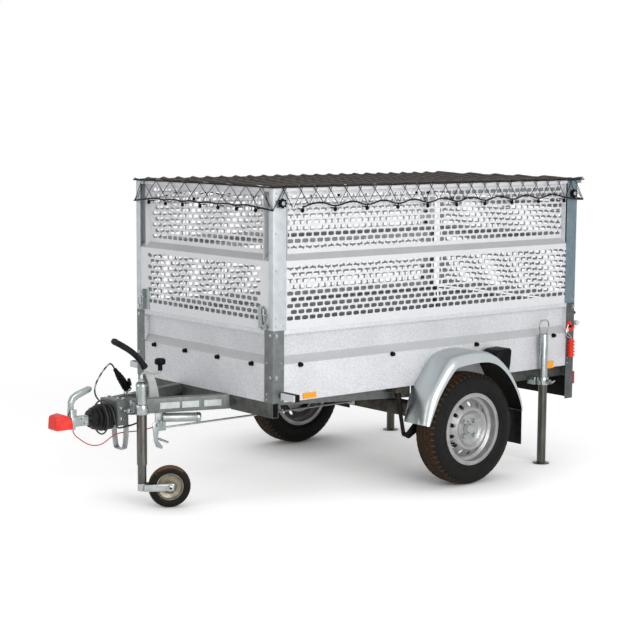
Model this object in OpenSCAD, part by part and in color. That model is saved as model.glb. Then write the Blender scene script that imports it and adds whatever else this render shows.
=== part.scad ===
// Small braked box trailer with perforated raised sides, a V drawbar and an overrun coupling.
// Millimetres. +X is the left side, -Y is the drawbar end, +Z is up, Z = 0 is the ground.
// Inside the modules Y is measured from the front of the load box; in_frame() centres the whole.

/* [Load box] */
// Outer length of the box over its corner posts
box_len = 2060; // [1800:10:2600]
// Outer width of the box over its corner posts
box_w = 1137; // [980:1:1500]
// Height of the box underside above the ground
deck_z = 504; // [490:1:560]
// Height of the lower steel walls
wall_h = 338; // [280:1:450]
// Height of the perforated raised sides
mesh_h = 661; // [500:1:900]
// Thickness of the folded wall sheets
sheet_t = 2; // [1.5:0.5:3]
// Depth of the step pressed into each wall
step_depth = 30; // [20:1:40]
// Height of the folded rail along each wall's top
top_rail_h = 20; // [16:1:30]
// Thickness of the corner post angles
post_t = 3; // [2:0.5:5]
// Width of a lower corner post's flanges
post_w = 66; // [50:1:80]
// Thickness of the plywood floor
floor_t = 12; // [9:1:18]
// Gap between pieces that seat on each other
seat_gap = 0.3; // [0.2:0.1:0.5]

/* [Perforation] */
// Length of a slot in the raised sides
slot_len = 35; // [20:1:38]
// Height of a slot in the raised sides
slot_h = 18; // [10:1:22]
// Distance between slots in a row
slot_pitch = 45; // [44:1:70]
// Distance between rows of slots
slot_row = 29; // [26:1:40]

/* [Wheels and axle] */
// Distance from the front wall to the axle
axle_y = 1128; // [1000:1:1300]
// Rolling radius of the road wheels
wheel_r = 282; // [270:1:300]
// Width of the road tyres
tyre_w = 155; // [145:1:175]
// Gap between the tyre and the box side
tyre_gap = 36; // [30:1:60]
// Radius of the wheel rim over its flanges
rim_r = 182; // [165:1:190]

/* [Drawbar] */
// Distance from the front wall to the tip of the coupling
nose_reach = 850; // [800:1:1000]
// Angle of each drawbar rail to the centreline
rail_angle = 17.4; // [12:0.1:20]
// Height of the drawbar rails
rail_h = 70; // [60:1:90]
// Flange width of the drawbar rails
rail_flange = 40; // [30:1:50]
// Wall thickness of the drawbar rails
rail_t = 3; // [2:0.5:5]
// Half width over the drawbar rails at the front wall
rail_half_w = 220; // [200:1:260]
// Height of the coupling axis
coupling_z = 424; // [410:1:440]

/* [Jockey wheel] */
// Radius of the jockey wheel
jockey_r = 100; // [90:1:110]
// Trail of the jockey wheel behind its swivel axis
jockey_trail = 128; // [125:1:140]
// Swivel of the jockey wheel away from straight behind
jockey_turn = 27; // [0:1:60]
// Radius of the jockey outer tube
jockey_tube_r = 24; // [22:0.5:30]
// Length of the jockey outer tube
jockey_tube_len = 370; // [330:1:420]

/* [Rear legs] */
// Distance from the front wall to the rear legs
leg_y = 1790; // [1700:1:1850]
// Radius of the rear leg tubes
leg_r = 23; // [18:0.5:27]
// Height of the rear legs' tubes
leg_h = 694; // [600:1:800]

/* [Hidden] */
$fn = 48;

half_w = box_w / 2;
wall_x = half_w - post_t - seat_gap;
wall_y0 = post_t + seat_gap;
wall_y1 = box_len - wall_y0;
rim_fold = step_depth + 4;
wall_top = deck_z + wall_h;
mesh_z = wall_top + seat_gap;
mesh_top = mesh_z + mesh_h;
lower_step = [177, 215];
upper_step = [321, 350];
side_y0 = wall_y0 + rim_fold + 1;
bottom_flange = 30;
end_fold_in = 60;

gate_gap = 5;
gate_y = box_len + gate_gap;
gate_axis_y = gate_y + rim_fold + 5;
gate_w = box_w - 2 * post_w - 10;
hinge_r = 8;
tailgate_axis_z = deck_z - 4;
gate_low_z = wall_top + 5;
header_z = mesh_top - 111;
gate_axis_z = header_z - 8;
tail_y = gate_axis_y + hinge_r - 0.5;
frame_mid_y = (tail_y - nose_reach) / 2;

tyre_x = half_w + tyre_gap + tyre_w / 2;
guard_outer_x = tyre_x + tyre_w / 2 + 10;
// Crown of the mudguard about the axle: [y, z, depth of the outer lip, drop towards the wall].
guard_path = [
    [-344, 58, 26, 44], [-331, 110, 35, 42], [-318, 153, 42, 40], [-298, 204, 44, 39],
    [-241, 284, 45, 39], [-186, 350, 50, 40], [-152, 376, 55, 32], [-108, 386, 58, 16],
    [-33, 393, 58, 3], [47, 391, 54, 1], [110, 380, 50, 1], [178, 348, 44, 4],
    [240, 292, 38, 14], [290, 225, 34, 24], [326, 158, 30, 30], [346, 98, 26, 34], [350, 62, 24, 34]];
bead_w = 60 - seat_gap;
hub_bore = 15.1;

rail_top = deck_z - seat_gap;
rail_low = rail_top - rail_h;
rail_front_y = -470;
rail_end_y = axle_y - 210;
head_y0 = -531;
head_y1 = -400;
head_half_w = 75;
head_low = 388;

jockey_x = 152;
jockey_y = -448;
jockey_tube_low = 207;
jockey_tube_top = jockey_tube_low + jockey_tube_len;
jockey_inner_r = jockey_tube_r - 3.1;
rail_to_jockey = (jockey_x - rail_half_w) * cos(rail_angle) - jockey_y * sin(rail_angle);
jockey_wheel_w = 40;
jockey_arm_w = 34;

leg_x = half_w + leg_r + 8.5;
clamp_z = 425;
clamp_h = 40;
lever_x = -30;
lever_y = -240;
lever_z = 452;
run_gap = 0.1;

// Cord routes, in the box's own Y: hand-chosen round numbers.
light_route = [
    [66, -385, 420], [66, -388, 408], [66, -400, 396], [66, -430, 386], [67, -470, 380],
    [70, -505, 378], [76, -530, 381], [79, -544, 402], [80, -550, 424], [74, -554, 452],
    [56, -557, 478], [30, -560, 496], [0, -562, 502], [-30, -564, 496], [-56, -566, 478],
    [-74, -568, 452], [-80, -570, 424], [-74, -572, 396], [-56, -574, 370], [-30, -576, 352],
    [0, -578, 346], [30, -580, 352], [56, -582, 370], [74, -584, 396], [80, -586, 424],
    [74, -588, 452], [58, -590, 478], [36, -592, 498], [12, -594, 510], [-12, -592, 522],
    [-34, -586, 541], [-49, -572, 570], [-60, -546, 602], [-70, -518, 628], [-80, -490, 647],
    [-87, -470, 656], [-91, -456, 652], [-92, -448, 643], [-92, -440.5, 630.5]];
breakaway_route = [
    [14, -735, 384.5], [15, -733, 373], [19, -724, 356], [24, -706, 340], [29, -680, 320],
    [33, -650, 306], [37, -622, 302], [42, -598, 306], [46, -576, 318], [47, -554, 332],
    [44, -528, 342], [40, -498, 346], [38, -460, 346], [46, -420, 346], [60, -380, 350],
    [74, -346, 358], [81, -324, 362]];

// Corner cutting: every round halves the angles and keeps both ends.
function cut_once(p) = concat([p[0]],
    [for (i = [0 : len(p) - 2]) each [0.75 * p[i] + 0.25 * p[i + 1], 0.25 * p[i] + 0.75 * p[i + 1]]],
    [p[len(p) - 1]]);
function rounded(p, times) = times == 0 ? p : rounded(cut_once(p), times - 1);
// The guard's section, [distance from the wall, depth below the crown], 2 mm thick.
function guard_section(lip, drop, w) = [
    [0, drop], [30, 0.72 * drop], [65, 0.38 * drop], [105, 0.1 * drop], [140, 0], [164, 0.02 * lip],
    [180, 0.1 * lip], [191, 0.24 * lip], [w - 4, 0.5 * lip], [w, 0.8 * lip], [w, lip],
    [w - 2.5, lip], [w - 2.5, 0.8 * lip], [w - 6, 0.5 * lip + 1], [189, 0.24 * lip + 1.8],
    [179, 0.1 * lip + 2], [163, 0.02 * lip + 2], [140, 2], [105, 0.1 * drop + 2],
    [65, 0.38 * drop + 2], [30, 0.72 * drop + 2], [0, drop + 2]];
function unit(v) = v / norm(v);
function left_of(v) = [-v[1], v[0]];
// A point of a sheet's second face, square to both folds that meet at point i.
function second_face(p, i, t) =
    let (a = left_of(unit(p[max(i, 1)] - p[max(i, 1) - 1])),
         b = left_of(unit(p[min(i, len(p) - 2) + 1] - p[min(i, len(p) - 2)])))
    p[i] + t * (a + b) / (1 + a * b);

module in_frame() {
    translate([0, -frame_mid_y, 0]) children();
}

module both_sides() {
    children();
    mirror([1, 0, 0]) children();
}

module folded_sheet(p, t) {
    polygon(concat(p, [for (i = [len(p) - 1 : -1 : 0]) second_face(p, i, t)]));
}

// Sections are drawn as [distance in from the outer face, height].
module wall_section(h, low, high, flange) {
    rim = [[rim_fold, h - 8], [rim_fold, h], [0, h], [0, h - top_rail_h], [step_depth, h - top_rail_h]];
    panel = [[step_depth, high], [0, low], [0, 0], [flange, 0]];
    folded_sheet(concat(rim, panel), sheet_t);
}

module run_along_side(y0, y1, z) {
    translate([wall_x, y1, z]) mirror([1, 0, 0]) rotate([90, 0, 0]) linear_extrude(y1 - y0) children();
}

module run_along_front(w, y, z) {
    translate([-w / 2, y, z]) rotate([90, 0, 90]) linear_extrude(w) children();
}

module run_along_rear(w, y, z) {
    translate([0, y, 0]) mirror([0, 1, 0]) run_along_front(w, 0, z) children();
}

// The return flange that closes the pressed step at a panel's end.
module end_fold(h, low, high) {
    top = h - top_rail_h;
    polygon([[sheet_t, low + 2], [step_depth, high + 2], [step_depth, top], [sheet_t, top]]);
}

// ---- chassis ----

module rail() {
    translate([rail_half_w, 0, rail_low])
        rotate([0, 0, -rail_angle])
            translate([0, (rail_front_y) / cos(rail_angle), 0])
                rotate([90, 0, 0]) mirror([0, 0, 1])
                    linear_extrude((rail_end_y - rail_front_y) / cos(rail_angle))
                        difference() {
                            translate([-rail_flange, 0]) square([rail_flange, rail_h]);
                            translate([-rail_flange - 1, rail_t])
                                square([rail_flange + 1 - rail_t, rail_h - 2 * rail_t]);
                        }
}

module drawbar_rails() {
    color("dimgray") in_frame() both_sides() rail();
}

module box_beam(size, t) {
    difference() {
        cube(size, center = true);
        cube([size[0] + 1, size[1] - 2 * t, size[2] - 2 * t], center = true);
    }
}

module crossmembers() {
    color("gray") in_frame() {
        translate([0, box_len - 32, deck_z - 29 - seat_gap]) box_beam([2 * wall_x - 20, 40, 58], 3);
        translate([0, 20, rail_low + rail_h / 2]) box_beam([344, 36, rail_h], 3);
        translate([0, 560, rail_low + rail_h / 2]) box_beam([694, 36, rail_h], 3);
        both_sides() translate([half_w - 167, 20, rail_low + rail_h / 2]) box_beam([326, 36, rail_h], 3);
    }
}

module side_members() {
    color("gray") in_frame() both_sides()
        translate([half_w - 40, axle_y - 110 + seat_gap, deck_z - 60 - seat_gap])
            difference() {
                len = box_len - 52 - 2 * seat_gap - (axle_y - 110);
                translate([-36, 0, 0]) cube([36, len, 60]);
                translate([-37, -1, 3]) cube([34, len + 2, 54]);
            }
}

module axle_beam() {
    color("dimgray") in_frame() {
        translate([0, axle_y - 150, deck_z - 144]) box_beam([2 * half_w + 20, 70, 70], 5);
        both_sides()
            translate([half_w - 78, axle_y - 190, deck_z - 109 + seat_gap]) cube([44, 80, 108]);
        both_sides()
            translate([half_w - 84, axle_y - 352, deck_z - 30.2]) cube([80, 54, 29.9]);
    }
}

module swing_arms() {
    color("dimgray") in_frame() both_sides() {
        arm_z = deck_z - 144;
        arm_x = half_w + 10 + seat_gap;
        hull() {
            translate([arm_x, axle_y - 150, arm_z]) rotate([0, 90, 0]) cylinder(r = 38, h = 14);
            translate([arm_x, axle_y, wheel_r]) rotate([0, 90, 0]) cylinder(r = 32, h = 14);
        }
        hull() {
            translate([arm_x, axle_y - 150, arm_z]) rotate([0, 90, 0]) cylinder(r = 38, h = 14);
            translate([arm_x, axle_y - 290, 262]) rotate([0, 90, 0]) cylinder(r = 16, h = 14);
        }
        translate([arm_x, axle_y, wheel_r]) rotate([0, 90, 0]) cylinder(r = 15, h = tyre_x + 12 - arm_x);
    }
}

module rod_between(a, b, r) {
    d = b - a;
    tilt = acos(d[2] / norm(d));
    turn = atan2(d[1], d[0]);
    translate(a) rotate([0, tilt, turn]) cylinder(r = r, h = norm(d));
}

module shock_absorbers() {
    color("black") in_frame() both_sides() {
        top = [half_w - 28, axle_y - 325, deck_z - 34.2];
        low = [half_w - 18, axle_y - 290, 262];
        mid = top + 0.45 * (low - top);
        rod_between(top, mid, 16);
        rod_between(mid, low, 10);
        translate(low) rotate([0, 90, 0]) cylinder(r = 12, h = 28);
    }
}

// ---- load box ----

module floor_panel() {
    color("saddlebrown") in_frame()
        translate([-(wall_x - rim_fold - 1), side_y0, deck_z + sheet_t + seat_gap])
            cube([2 * (wall_x - rim_fold - 1), wall_y1 - side_y0, floor_t]);
}

module lower_wall() {
    wall_section(wall_h, lower_step[0], lower_step[1], bottom_flange);
}

module front_wall() {
    color("silver") in_frame() {
        run_along_front(2 * wall_x, wall_y0, deck_z) lower_wall();
        both_sides()
            translate([half_w - end_fold_in, 0, 0])
                run_along_front(sheet_t, wall_y0, deck_z) end_fold(wall_h, lower_step[0], lower_step[1]);
    }
}

module side_wall() {
    run_along_side(side_y0, wall_y1, deck_z) lower_wall();
    for (y = [end_fold_in, box_len - end_fold_in])
        run_along_side(y, y + sheet_t, deck_z) end_fold(wall_h, lower_step[0], lower_step[1]);
}

module left_wall() {
    color("silver") in_frame() side_wall();
}

module right_wall() {
    color("silver") in_frame() mirror([1, 0, 0]) side_wall();
}

module post_angle(w_front, w_side, z0, z1) {
    translate([half_w, 0, z0])
        linear_extrude(z1 - z0)
            polygon([[0, 0], [0, w_side], [-post_t, w_side], [-post_t, post_t],
                     [-w_front, post_t], [-w_front, 0]]);
}

module at_rear() {
    translate([0, box_len, 0]) mirror([0, 1, 0]) children();
}

module lower_posts() {
    color("dimgray") in_frame() both_sides() {
        post_angle(post_w, post_w, deck_z, wall_top);
        at_rear() post_angle(post_w, 60, deck_z - 182, wall_top);
    }
}

module upper_posts() {
    color("lightsteelblue") in_frame() both_sides() {
        post_angle(35, 78, mesh_z, mesh_top);
        at_rear() post_angle(35, 76, mesh_z, mesh_top);
    }
}

module raised_panel() {
    wall_section(mesh_h, upper_step[0], upper_step[1], 12);
}

module front_mesh() {
    color("gainsboro") in_frame() {
        run_along_front(2 * wall_x, wall_y0, mesh_z) raised_panel();
        both_sides()
            translate([half_w - end_fold_in - 20, 0, 0])
                run_along_front(sheet_t, wall_y0, mesh_z) end_fold(mesh_h, upper_step[0], upper_step[1]);
    }
}

module side_mesh() {
    run_along_side(side_y0, wall_y1, mesh_z) raised_panel();
    for (y = [end_fold_in + 24, box_len - end_fold_in - 24])
        run_along_side(y, y + sheet_t, mesh_z) end_fold(mesh_h, upper_step[0], upper_step[1]);
}

module left_mesh() {
    color("gainsboro") in_frame() side_mesh();
}

module right_mesh() {
    color("gainsboro") in_frame() mirror([1, 0, 0]) side_mesh();
}

header_h = mesh_top - header_z;

module rear_header() {
    color("gainsboro") in_frame()
        run_along_rear(2 * half_w - 4, box_len + seat_gap + rim_fold, header_z)
            folded_sheet([[rim_fold, header_h - 8], [rim_fold, header_h], [0, header_h],
                          [0, header_h - top_rail_h], [step_depth, header_h - top_rail_h],
                          [step_depth, sheet_t], [10, sheet_t]], sheet_t);
}

knob_z = deck_z + 171;
hook_z = mesh_top - 100;
side_knobs = [for (i = [0 : 3]) 162 + i * (box_len - 324) / 3];
front_knobs = [for (i = [-1.5 : 1.5]) i * 271];
side_hooks = [for (i = [0 : 9]) 165 + i * (box_len - 275) / 9];
front_hooks = [for (i = [-3 : 3]) i * 147.5];

module knobs() {
    color("black") in_frame() {
        both_sides() {
            for (y = side_knobs)
                translate([wall_x + seat_gap, y, knob_z]) rotate([0, 90, 0]) cylinder(r = 11, h = 12);
            for (y = [42, box_len - 42])
                translate([half_w + seat_gap, y, mesh_top - 73]) rotate([0, 90, 0]) cylinder(r = 20, h = 22);
        }
        for (x = front_knobs)
            translate([x, wall_y0 - seat_gap, knob_z]) rotate([90, 0, 0]) cylinder(r = 11, h = 12);
    }
}

module hook() {
    rotate([0, 90, 0]) cylinder(r = 7, h = 14);
    translate([8, 0, -6]) cylinder(r = 5, h = 22);
}

module net_hooks() {
    color("black") in_frame() {
        both_sides()
            for (y = side_hooks) translate([wall_x - step_depth + seat_gap, y, hook_z]) hook();
        for (x = front_hooks)
            translate([x, wall_y0 + step_depth - seat_gap, hook_z]) rotate([0, 0, -90]) hook();
        for (x = front_hooks)
            translate([x, box_len + 2 * seat_gap + rim_fold - step_depth, hook_z]) rotate([0, 0, 90]) hook();
    }
}

module cargo_net() {
    color("black") in_frame()
        translate([-half_w, 0, mesh_top + seat_gap])
            cube([box_w, box_len + rim_fold, 7]);
}

// Rings of n points about a route; each open route carries its first side direction along it.
function ring_at(p, dir, r, n) =
    let (side = unit(cross(dir, [0, 0, 1])), up = cross(side, dir))
    [for (k = [0 : n - 1]) p + r * (cos(360 * k / n) * side + sin(360 * k / n) * up)];

function route_dir(p, i) = unit(p[min(i + 1, len(p) - 1)] - p[max(i - 1, 0)]);
function carried_sides(p, u, i) =
    i == len(p) ? []
    : let (d = route_dir(p, i), s = unit(u - (u * d) * d)) concat([s], carried_sides(p, s, i + 1));

module open_tube(p, first_side, r, n) {
    last = len(p) - 1;
    sides = carried_sides(p, first_side, 0);
    rings = [for (i = [0 : last], k = [0 : n - 1])
        p[i] + r * (cos(360 * k / n) * sides[i] + sin(360 * k / n) * cross(sides[i], route_dir(p, i)))];
    walls = [for (i = [0 : last - 1], k = [0 : n - 1])
        [i * n + k, i * n + (k + 1) % n, (i + 1) * n + (k + 1) % n, (i + 1) * n + k]];
    start = [for (k = [n - 1 : -1 : 0]) k];
    end = [for (k = [0 : n - 1]) last * n + k];
    polyhedron(rings, concat(walls, [start, end]));
}

module closed_tube(p, r, n) {
    m = len(p);
    rings = [for (i = [0 : m - 1])
        each ring_at(p[i], unit(p[(i + 1) % m] - p[(i + m - 1) % m]), r, n)];
    walls = [for (i = [0 : m - 1], k = [0 : n - 1])
        [i * n + k, i * n + (k + 1) % n, ((i + 1) % m) * n + (k + 1) % n, ((i + 1) % m) * n + k]];
    polyhedron(rings, walls);
}

cord_r = 4;
cord_out = 12;
cord_x = half_w + cord_out;
cord_y0 = -cord_out;
cord_y1 = box_len + rim_fold + cord_out;
cord_low = mesh_top - 92;
cord_high = mesh_top - 74;
cord_corner = mesh_top - 105.3;
function with_midpoints(v) = [for (i = [0 : len(v) - 1]) each i == len(v) - 1 ? [[v[i], cord_low]]
    : [[v[i], cord_low], [(v[i] + v[i + 1]) / 2, cord_high]]];
side_loop = with_midpoints(side_hooks);
front_loop = with_midpoints(front_hooks);
cord_loop = concat(
    [for (s = side_loop) [cord_x, s[0], s[1]]], [[cord_x - 6, cord_y1 - 6, cord_corner]],
    [for (i = [len(front_loop) - 1 : -1 : 0]) [front_loop[i][0], cord_y1, front_loop[i][1]]],
    [[6 - cord_x, cord_y1 - 6, cord_corner]],
    [for (i = [len(side_loop) - 1 : -1 : 0]) [-cord_x, side_loop[i][0], side_loop[i][1]]],
    [[6 - cord_x, cord_y0 + 6, cord_corner]],
    [for (s = front_loop) [s[0], cord_y0, s[1]]], [[cord_x - 6, cord_y0 + 6, cord_corner]]);

module net_cord() {
    color("black") in_frame() closed_tube(cord_loop, cord_r, 8);
}

module latch_body() {
    translate([0, -3, 0]) cube([46, 3, 86]);
    translate([10, -16, 20]) cube([12, 13.5, 60]);
    translate([26, -12, 4]) cube([6, 9.5, 52]);
}

module mesh_latches() {
    color("silver") in_frame() both_sides()
        translate([half_w - 84, -seat_gap + wall_y0, mesh_z + 2]) latch_body();
}

// ---- running gear ----

// One guard: at each station of its crown a section runs from the wall to the rolled outer lip.
module guard() {
    w = guard_outer_x - wall_x - seat_gap;
    path = rounded(guard_path, 2);
    n = len(path);
    m = len(guard_section(1, 1, w));
    rings = [for (i = [0 : n - 1])
        let (ahead = path[min(i + 1, n - 1)], behind = path[max(i - 1, 0)],
             along = unit([ahead[0] - behind[0], ahead[1] - behind[1]]))
        each [for (q = guard_section(path[i][2], path[i][3], w))
            [q[0], path[i][0] + q[1] * along[1], path[i][1] - q[1] * along[0]]]];
    walls = [for (i = [0 : n - 2], k = [0 : m - 1])
        [i * m + k, (i + 1) * m + k, (i + 1) * m + (k + 1) % m, i * m + (k + 1) % m]];
    first = [for (k = [0 : m - 1]) k];
    last = [for (k = [m - 1 : -1 : 0]) (n - 1) * m + k];
    translate([wall_x + seat_gap, axle_y, wheel_r])
        polyhedron(rings, concat(walls, [first, last]));
}

module mudguards() {
    color("silver") in_frame() both_sides() guard();
}

module mudflaps() {
    color("black") in_frame() both_sides()
        translate([half_w + 44, axle_y + 350.6, 160]) cube([130, 5, 215]);
}

module wheel_chocks() {
    color("black") in_frame() both_sides()
        translate([wall_x + seat_gap, axle_y, wheel_r])
            rotate([90, 0, 90]) linear_extrude(150)
                polygon([[206, 360], [262, 306], [318, 222], [330, 226], [352, 300],
                         [356, 372], [344, 388], [230, 382]]);
}

module tyre() {
    color("dimgray") translate([tyre_x, axle_y, wheel_r]) rotate([0, 90, 0])
        rotate_extrude($fn = 96)
            polygon([[rim_r - 16 + seat_gap, -bead_w], [rim_r + 1, -bead_w], [rim_r + 2, -bead_w - 6],
                     [rim_r + 44, -tyre_w / 2], [wheel_r - 30, -tyre_w / 2 + 4],
                     [wheel_r - 9, -tyre_w / 2 + 18], [wheel_r, -tyre_w / 2 + 34],
                     [wheel_r, tyre_w / 2 - 34], [wheel_r - 9, tyre_w / 2 - 18],
                     [wheel_r - 30, tyre_w / 2 - 4], [rim_r + 44, tyre_w / 2],
                     [rim_r + 2, bead_w + 6], [rim_r + 1, bead_w], [rim_r - 16 + seat_gap, bead_w]]);
}

module rim() {
    color("lightgray") translate([tyre_x, axle_y, wheel_r]) rotate([0, 90, 0]) {
        difference() {
            union() {
                rotate_extrude($fn = 96)
                    polygon([[rim_r, -64], [rim_r, -60], [rim_r - 16, -60], [rim_r - 16, -34],
                             [rim_r - 32, -26], [rim_r - 32, 18], [rim_r - 16, 26], [rim_r - 16, 60],
                             [rim_r, 60], [rim_r, 64], [rim_r - 20, 64], [rim_r - 20, 28],
                             [rim_r - 36, 20], [rim_r - 36, -28], [rim_r - 20, -36], [rim_r - 20, -64]]);
                rotate_extrude($fn = 96)
                    polygon([[30, 33], [70, 33], [80, 40], [90, 52], [97, 56], [104, 56], [112, 48],
                             [136, 24], [rim_r - 34, 14], [rim_r - 34, 9], [134, 19], [110, 43],
                             [103, 51], [97, 51], [92, 47], [83, 35], [72, 28], [30, 28]]);
            }
            for (i = [0 : 13])
                rotate([0, 0, i * 360 / 14]) translate([124, 0, 34]) cylinder(r = 11, h = 40, center = true);
            for (i = [0 : 3])
                rotate([0, 0, 45 + i * 90]) translate([50, 0, 30]) cylinder(r = 6.5, h = 20, center = true);
        }
    }
}

module drum() {
    color("dimgray") translate([tyre_x, axle_y, wheel_r]) rotate([0, 90, 0])
        difference() {
            union() {
                translate([0, 0, -48]) cylinder(r = 108, h = 51);
                translate([0, 0, 3]) cylinder(r = 66, h = 25 - seat_gap);
                translate([0, 0, 3]) cylinder(r = 29, h = 42);
            }
            translate([0, 0, -60]) cylinder(r = hub_bore, h = 80);
            translate([0, 0, -50]) cylinder(r = 98, h = 44);
        }
}

module tyre_left() { in_frame() tyre(); }
module tyre_right() { in_frame() mirror([1, 0, 0]) tyre(); }
module rim_left() { in_frame() rim(); }
module rim_right() { in_frame() mirror([1, 0, 0]) rim(); }
module drum_left() { in_frame() drum(); }
module drum_right() { in_frame() mirror([1, 0, 0]) drum(); }

// ---- lights ----

module light_board() {
    color("dimgray") in_frame()
        translate([-half_w + post_t + seat_gap, box_len - 10, deck_z - 180])
            cube([2 * (half_w - post_t - seat_gap), 4, 116]);
}

module tail_lamps() {
    color("red") in_frame() both_sides()
        translate([half_w - 124, box_len + seat_gap, deck_z - 108]) cube([120, 22, 70]);
}

module front_lamps() {
    color("white") in_frame() both_sides()
        translate([half_w + seat_gap, 30, deck_z + 17]) cube([121, 35, 37]);
}

module side_reflectors() {
    color("orange") in_frame() both_sides() {
        translate([wall_x + seat_gap, 180, deck_z + 6]) cube([7, 79, 26]);
        translate([wall_x + seat_gap, 1854, deck_z - 4]) cube([7, 49, 38]);
    }
}

// ---- legs ----

module leg_clamps() {
    color("silver") in_frame() both_sides()
        translate([0, leg_y, clamp_z])
            difference() {
                union() {
                    translate([leg_x, 0, 0]) cylinder(r = leg_r + 7, h = clamp_h);
                    translate([half_w - 40 + seat_gap, -44, 0]) cube([50, 38, clamp_h]);
                    translate([leg_x + leg_r + 2, -8, 6]) cube([26, 16, 24]);
                }
                translate([leg_x, 0, -1]) cylinder(r = leg_r + run_gap, h = clamp_h + 2);
            }
}

module leg() {
    color("gray") translate([leg_x, leg_y, 0]) {
        cylinder(r = 44, h = 5);
        difference() {
            cylinder(r = leg_r, h = leg_h);
            translate([0, 0, 5]) cylinder(r = leg_r - 2.5, h = leg_h);
        }
        for (y = [-1, 1])
            translate([0, y * (leg_r - 5), leg_h - 30]) cylinder(r = 4, h = 80);
        translate([0, -leg_r + 1, leg_h + 50]) rotate([-90, 0, 0]) cylinder(r = 4, h = 2 * leg_r - 2);
    }
}

module leg_left() { in_frame() leg(); }
module leg_right() { in_frame() mirror([1, 0, 0]) leg(); }

// ---- jockey wheel ----

module beside_rail() {
    foot = [jockey_x, jockey_y] - rail_to_jockey * [cos(rail_angle), -sin(rail_angle)];
    translate([foot[0], foot[1], 0]) rotate([0, 0, -rail_angle]) children();
}

module jockey_clamp() {
    color("silver") in_frame() beside_rail()
        difference() {
            union() {
                translate([seat_gap, -40, rail_low]) cube([6, 85, rail_h]);
                translate([seat_gap, -20, rail_low + 12]) cube([60, 40, 46]);
                translate([rail_to_jockey, 0, rail_low + 12]) cylinder(r = jockey_tube_r + 8, h = 46);
            }
            translate([rail_to_jockey, 0, rail_low]) cylinder(r = jockey_tube_r + run_gap, h = rail_h);
        }
}

module at_jockey() {
    translate([jockey_x, jockey_y, 0]) children();
}

module jockey_tube() {
    color("gray") in_frame() at_jockey()
        difference() {
            translate([0, 0, jockey_tube_low]) cylinder(r = jockey_tube_r, h = jockey_tube_len + 20);
            translate([0, 0, jockey_tube_low - 1]) cylinder(r = jockey_inner_r + seat_gap, h = jockey_tube_len);
        }
}

crank_len = 87;
crank_turn = 50;

module jockey_crank() {
    color("silver") in_frame() at_jockey() {
        top = jockey_tube_top + 20 + seat_gap;
        end = [crank_len * cos(crank_turn), crank_len * sin(crank_turn), top + 40];
        translate([0, 0, top]) cylinder(r = 13, h = 16);
        rod_between([0, 0, top + 12], end, 5);
        translate(end - [0, 0, 5]) cylinder(r = 12, h = 58);
        translate(end + [0, 0, 52]) cylinder(r = 25, h = 34);
    }
}

module jockey_inner() {
    color("gray") in_frame() at_jockey()
        translate([0, 0, 118]) difference() {
            cylinder(r = jockey_inner_r, h = 400);
            translate([0, 0, -1]) cylinder(r = 12 + run_gap, h = 60);
        }
}

module facing_trail() {
    rotate([0, 0, -jockey_turn]) children();
}

module jockey_fork() {
    color("silver") in_frame() at_jockey() facing_trail() {
        translate([0, 0, 84]) cylinder(r = jockey_inner_r, h = 34 - seat_gap);
        translate([0, 0, 110]) cylinder(r = 12, h = 55);
        for (x = [-jockey_arm_w - 0, jockey_arm_w - 5])
            translate([x, 10, 84]) cube([5, jockey_trail + 8, 32]);
        translate([-jockey_arm_w, 6, 84]) cube([2 * jockey_arm_w, 5, 32]);
        translate([-jockey_arm_w - 6, jockey_trail, jockey_r]) rotate([0, 90, 0])
            cylinder(r = 7, h = 2 * jockey_arm_w + 12);
    }
}

module jockey_wheel() {
    color("black") in_frame() at_jockey() facing_trail()
        translate([0, jockey_trail, jockey_r]) rotate([0, 90, 0])
            rotate_extrude($fn = 96)
                polygon([[62, -18], [92, -20], [jockey_r, -10], [jockey_r, 10], [92, 20],
                         [62, 18], [60, 4], [22, 4], [22, 24], [7 + run_gap, 24],
                         [7 + run_gap, -24], [22, -24], [22, -4], [60, -4]]);
}

// ---- gates ----

hinge_xs = [-380, 0, 380];

// The gate's own barrels and leaves; up = 1 stands the leaf above the axis, -1 hangs it below.
module gate_hinges(z, up) {
    for (x = hinge_xs) {
        translate([x, gate_axis_y, z]) rotate([0, 90, 0]) difference() {
            cylinder(r = hinge_r - 0.5, h = 60, center = true);
            cylinder(r = 4 + run_gap, h = 62, center = true);
        }
        translate([x - 30, gate_axis_y - 6.5, z + (up > 0 ? 5 : -55)]) cube([60, 3, 50]);
    }
}

// Fixed knuckles and pins; the leaf runs forward to y0 below (up = -1) or above (up = 1) the axis.
module fixed_hinges(z, up, y0) {
    for (x = hinge_xs) {
        translate([x, gate_axis_y, z]) rotate([0, 90, 0]) cylinder(r = 4, h = 100, center = true);
        for (s = [-1, 1]) translate([x + s * 41, gate_axis_y, z]) {
            rotate([0, 90, 0]) cylinder(r = hinge_r - 0.5, h = 18, center = true);
            translate([-9, y0 - gate_axis_y, up > 0 ? 3.5 : -7.5]) cube([18, gate_axis_y - y0, 4]);
        }
    }
}

module hinges() {
    color("gray") in_frame() {
        fixed_hinges(tailgate_axis_z, -1, box_len - 12 + seat_gap);
        fixed_hinges(gate_axis_z, 1, box_len + 10);
    }
}

module tailgate() {
    color("silver") in_frame() {
        run_along_rear(gate_w, gate_y + rim_fold, deck_z + 2)
            wall_section(wall_h - 6, lower_step[0], lower_step[1], bottom_flange);
        gate_hinges(tailgate_axis_z, 1);
        both_sides()
            translate([gate_w / 2 - 8, gate_y + 14, deck_z + 226]) rotate([0, 90, 0])
                cylinder(r = 13, h = half_w - gate_w / 2 + 18);
    }
}

module rear_gate() {
    color("gainsboro") in_frame() {
        run_along_rear(gate_w, gate_y + rim_fold, gate_low_z)
            wall_section(gate_axis_z - 6 - gate_low_z, upper_step[0], upper_step[1], 12);
        gate_hinges(gate_axis_z, -1);
    }
}

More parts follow.
